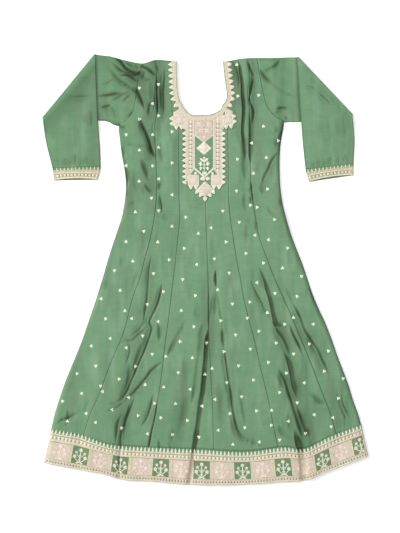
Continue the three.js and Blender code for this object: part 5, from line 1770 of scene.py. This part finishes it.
def panel(work):
    x = off_middle
    # the mauve square under the neck, and the point that hangs from it
    work.fill([(x(-27), 166), (x(27), 166), (x(27), 214), (x(-27), 214)], 0.6, 8, "mauve")
    work.line([(x(-27), 169), (x(27), 169)], 2.6)
    work.frame([(x(-23), 175), (x(23), 175), (x(23), 211), (x(-23), 211)], 1.6, "blush")
    for way in (-1, 1):
        for tall in (-1, 1):
            petal = (x((11.5 - 3 * tall) * way), 192 + 9 * tall)
            work.stamp(bloom(4, 8.4, 7.6, 1.1), [petal], math.pi / 4, "rose")
            work.stamp(dot(1.8, 1.3), [petal], 0, "mauve")
    work.stamp(bloom(4, 9, 5.4, 1.0), [(x(0), 192)], 0, "blush")
    work.stamp(dot(2.4, 1.2), [(x(0), 192)], 0, "gold")
    work.fill([(x(-26), 214), (x(26), 214), (x(2), 233), (x(-2), 233)], 0.6, 6, "mauve")
    work.stamp(leaf(14, 10, 0.9), [(x(0), 214)], DOWN, "rose")
    work.line([(x(-27), 213), (x(0), 234)], 3.6, "ivory")
    work.line([(x(27), 213), (x(0), 234)], 3.6, "ivory")
    # the diamond
    work.fill(diamond(x(0), 252, 23.5, 20.5), 0.2, 6, "shade")
    work.fill(diamond(x(0), 252, 23, 20), 0.6, 6, "ivory")
    work.fill(diamond(x(0), 250.5, 11.5, 12.5), 1.0, 4, "rose")
    # the spray of flowers
    work.line([(x(0.6), 284), (x(0.6), 322)], 2.2, "mint")
    work.outlined(dot(4.6, 1.1), [(x(0.8), 280)], 0, "ivory")
    side_petal = leaf(10, 6.4, 1.0)
    petals = together((leaf(12, 7.0, 1.1), 0, 0, 0), (side_petal, 0, 0, 0.8), (side_petal, 0, 0, -0.8))
    for way, flat in ((-1, math.pi), (1, 0)):
        work.outlined(leaf(18, 8.4, 1.0), [(x(0.6 + 0.5 * way), 291)], UP + 0.86 * way, "mint")
        work.outlined(petals, [(x(0.6 + 6.5 * way), 297)], flat, "mint")
        work.line([(x(0.6), 302), (x(0.6 + 8 * way), 297)], 1.8, "mint")
        work.outlined(leaf(12, 9.0, 1.0), [(x(0.6 + 9.5 * way), 305)], DOWN - 0.1 * way, "mint")
        work.line([(x(0.6), 311), (x(0.6 + 8 * way), 307)], 1.6, "mint")
    foot_leaf = leaf(12, 9, 1.1)
    work.outlined(together((foot_leaf, 0, 0, -0.55), (foot_leaf, 0, 0, 0.55)), [(x(1.6), 329)], UP, "ivory")
    # the two lines that meet at the panel's foot, and what fills the space beside them
    for way, flat in ((-1, math.pi), (1, 0)):
        work.line([(x(29 * way), 309), (x(1.5), 335)], 5.0, "ivory")
        work.outlined(leaf(11, 8.4, 0.9), [(x(27 * way), 329)], UP - 0.5 * way, "mint")
        work.outlined(leaf(15, 13, 1.0), [(x(3 + 1.5 * way), 339)], flat + 0.15 * way, "ivory")
    work.fill(diamond(x(0), 340, 6, 7), 0.8, 3, "rose")


def tip(work):
    for way in (-1, 1):
        for share in (0.06, 0.52):
            spot = (way * 22 * (1 - share), 373 + 20 * share)
            work.outlined(spear, [spot], DOWN - way * 0.62, "ivory")
    work.outlined(spear, [(0, 394)], DOWN, "ivory")
    corner_square(work, off_middle(-30.6), 345, 14.8, 0, (90,))
    corner_square(work, off_middle(36.2), 345, 14.8, 0, (90,))
    work.fill(diamond(0, 371, 22, 22), 1.4, 14)
    work.frame(diamond(0, 371, 22, 22), 2.8, "ivory")
    work.frame(diamond(0, 371, 14, 14), 1.4, "rose")
    work.stamp(bloom(8, 9, 4.6, 1.1), [(0, 370)], 0.4, "rose")


yoke_work = Needlework()
neck_band(yoke_work)
corner_square(yoke_work, -77.5, 172, 14.5, -0.06, (90, 180))
corner_square(yoke_work, 65, 170, 14.5, -0.14, (90, 0))
placket(yoke_work)
panel(yoke_work)
tip(yoke_work)


def on_yoke(x, drop):
    return x, drop, *yoke_height(x, drop)


yoke_stitches = yoke_work.sewn("yoke_stitches", on_yoke)

# %% [markdown]
# ## Bootis
# A booti is a small motif woven or worked all over the ground. Here it is a trefoil about 10 mm
# across, in a half-drop layout: columns 38.5 mm apart that follow each kali's own slant, each
# shifted by half a step from the next. The layout is given by one slanting line for each kali.

# %% Lay out and work the bootis
BOOTI_APART = 38.5
BOOTI_COLUMNS = range(-5, 6)
SEAM_MARGIN = 3
YOKE_MARGIN = 7
SHOULDER_MARGIN = 12
BORDER_MARGIN = 16
LAYOUT = {
    "left_side": (90,
        [(-190, 78), (-191, 348), (-201, 433), (-225, 512), (-259, 599), (-297, 681), (-337, 756),
         (-418, 912), (-490, 1050)]),
    "left_middle": (91.5,
        [(-135, 67), (-134, 430), (-137, 525), (-150, 618), (-168, 706), (-180, 793), (-201, 882),
         (-219, 963), (-239, 1050), (-253, 1115)]),
    "left_centre": (90, [(-56, 452), (-65, 637), (-78, 904), (-95, 1084), (-98, 1120)]),
    "right_centre": (90, [(51, 434), (70, 615), (88, 790), (105, 966), (114, 1054), (120, 1120)]),
    "right_middle": (91.5,
        [(92, 10), (96, 195), (91, 381), (100, 473), (119, 560), (152, 646), (181, 731), (205, 815),
         (231, 893), (262, 975), (284, 1054), (300, 1115)]),
    "right_side": (91,
        [(160, 8), (155, 97), (169, 190), (177, 280), (181, 376), (201, 460), (238, 540), (278, 621),
         (318, 696), (363, 771), (446, 925), (520, 1080)]),
}


def seam_x(index, drop):
    seam = on_seam(index, np.linspace(NECK_ROW if index == 3 else 0, LAST_ROW, 400))
    return np.interp(drop, seam[:, 1], seam[:, 0])


def booti_spots(index, name):
    step, line = LAYOUT[name]
    line = evenly(smooth_path(line, 12), 1.0)
    ahead = heading(line)
    spots = []
    for column in BOOTI_COLUMNS:
        first = 0 if column % 2 == 0 else step / 2
        for i in np.arange(first, len(line), step).astype(int):
            x = line[i, 0] + column * BOOTI_APART * ahead[i, 1]
            drop = line[i, 1] - column * BOOTI_APART * ahead[i, 0]
            clear = min(x - seam_x(index, drop), seam_x(index + 1, drop) - x)
            top, bottom = shoulder_drop(x) + SHOULDER_MARGIN, border_seam_drop(x) - BORDER_MARGIN
            if clear > SEAM_MARGIN and top < drop < bottom:
                spots.append((x, drop))
    spots = np.array(spots)
    off, _ = reach(np.concatenate([yoke_path, neck_edge(8.0)[::-1]]), spots[:, 0], spots[:, 1])
    middle = (np.abs(spots[:, 0] - PLACKET_X) < PLACKET_HALF) & (spots[:, 1] < PLACKET_FOOT)
    return spots[(np.abs(off) > YOKE_MARGIN) & ~middle]


trefoil = together(*[(dot(2.7, 1.0), 2.4 * math.cos(a), 2.4 * math.sin(a), 0) for a in (0, 2.1, 4.2)],
                   (leaf(4.5, 1.8, 0.7), -1.5, 0, math.pi + 1.0))
turns_rng = np.random.default_rng(12)


def on_front(x, drop):
    height, dip = front_height(x, drop)
    return x, drop, height, 0.25 * dip
# bootis take a quarter of the painted shade of the cloth under them


bootis = {}
for where, surface in (("front", on_front), ("back", under_back)):
    for index, (name, _) in enumerate(KALIS):
        work = Needlework()
        spots = booti_spots(index, name)
        turns = turns_rng.choice([UP, UP + 0.5, DOWN, UP - 0.6], len(spots))
        work.stamp(trefoil, spots, turns, "mint")
        bootis[where, name] = work.sewn(f"bootis_{where}_{name}", surface, under=where == "back")
print("bootis on", len(bootis), "kalis")

# %% [markdown]
# ## Camera, floor and light
# The kurta lies on white paper and is seen from straight above. A long lens keeps the plan free
# of perspective. Two soft lights do the work: a wide softbox overhead, and a window on the left
# that grazes the silk, so that every fold has a lit bank and a shaded one. The paper glows a
# little, as a lit table does, so that it stays white up to the cloth's edge.

# %% Camera, floor and light
scene = bpy.context.scene
scene.view_settings.view_transform = "Standard"

camera = put("camera", bpy.data.cameras.new("camera"))
camera.data.lens = 85
LOOK_AT = (-0.0145, 0.0076)
VIEW_HEIGHT = 1.5457
camera.location = (*LOOK_AT, VIEW_HEIGHT * camera.data.lens / camera.data.sensor_width)
scene.camera = camera

floor_mesh = bpy.data.meshes.new("floor")
floor_mesh.from_pydata([(-6, -6, 0), (6, -6, 0), (6, 6, 0), (-6, 6, 0)], [], [(0, 1, 2, 3)])
floor = put("floor", floor_mesh)
paper = Finish("white paper")
paper.plug(paper.shader, {
    "Base Color": (0.92, 0.92, 0.92, 1),
    "Roughness": 0.9,
    "Emission Color": (1, 1, 1, 1),
    "Emission Strength": 0.16,
})
floor_mesh.materials.append(paper.material)


def soft_light(name, place, size, power):
    """A square light that shines on the middle of the floor."""
    light = bpy.data.lights.new(name, "AREA")
    light.shape = "SQUARE"
    light.size = size
    light.energy = power
    lamp = put(name, light)
    lamp.location = place
    lamp.rotation_euler = (-Vector(place)).to_track_quat("-Z", "Y").to_euler()


soft_light("overhead softbox", (0.15, 0.3, 4.3), size=3.0, power=92)
soft_light("window on the left", (-9.0, 3.6, 5.4), size=4.0, power=1050)
world = bpy.data.worlds.new("studio")
scene.world = world
world.use_nodes = True
world.node_tree.nodes["Background"].inputs["Color"].default_value = (1, 1, 1, 1)
world.node_tree.nodes["Background"].inputs["Strength"].default_value = 0.36

# %% [markdown]
# ## What stands for what, and how each cloth was cut
# Every piece rides on the garment's one body, and each piece of cloth hides the solid of the
# pattern that it dresses. The cut of each piece of cloth was measured as it was built: width,
# length and, where it is no rectangle, the area of the pattern piece, with its folds opened out.
# A flattened tube counts all the way round. The back lies on the paper, the front on the back,
# the yoke and the stitches on the front.

# %% Ride and replace
def dress(piece, node):
    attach(piece, "root")
    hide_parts(node)


needlework = [hem_stitches_front, hem_stitches_back, yoke_stitches, *bootis.values(), *cuff_threads.values()]
for stitches in needlework:
    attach(stitches, "root")
for name, _ in KALIS:
    dress(back_kalis[name], f"kali_back_{name}")
    dress(front_kalis[name], f"kali_front_{name}")
dress(border_back, "border_back")
dress(border_front, "border_front")
for side in SLEEVES:
    dress(sleeves[side], f"sleeve_{side}")
    dress(cuffs[side], f"cuff_{side}")
dress(yoke, "yoke")
dress(piping, "neck_binding")
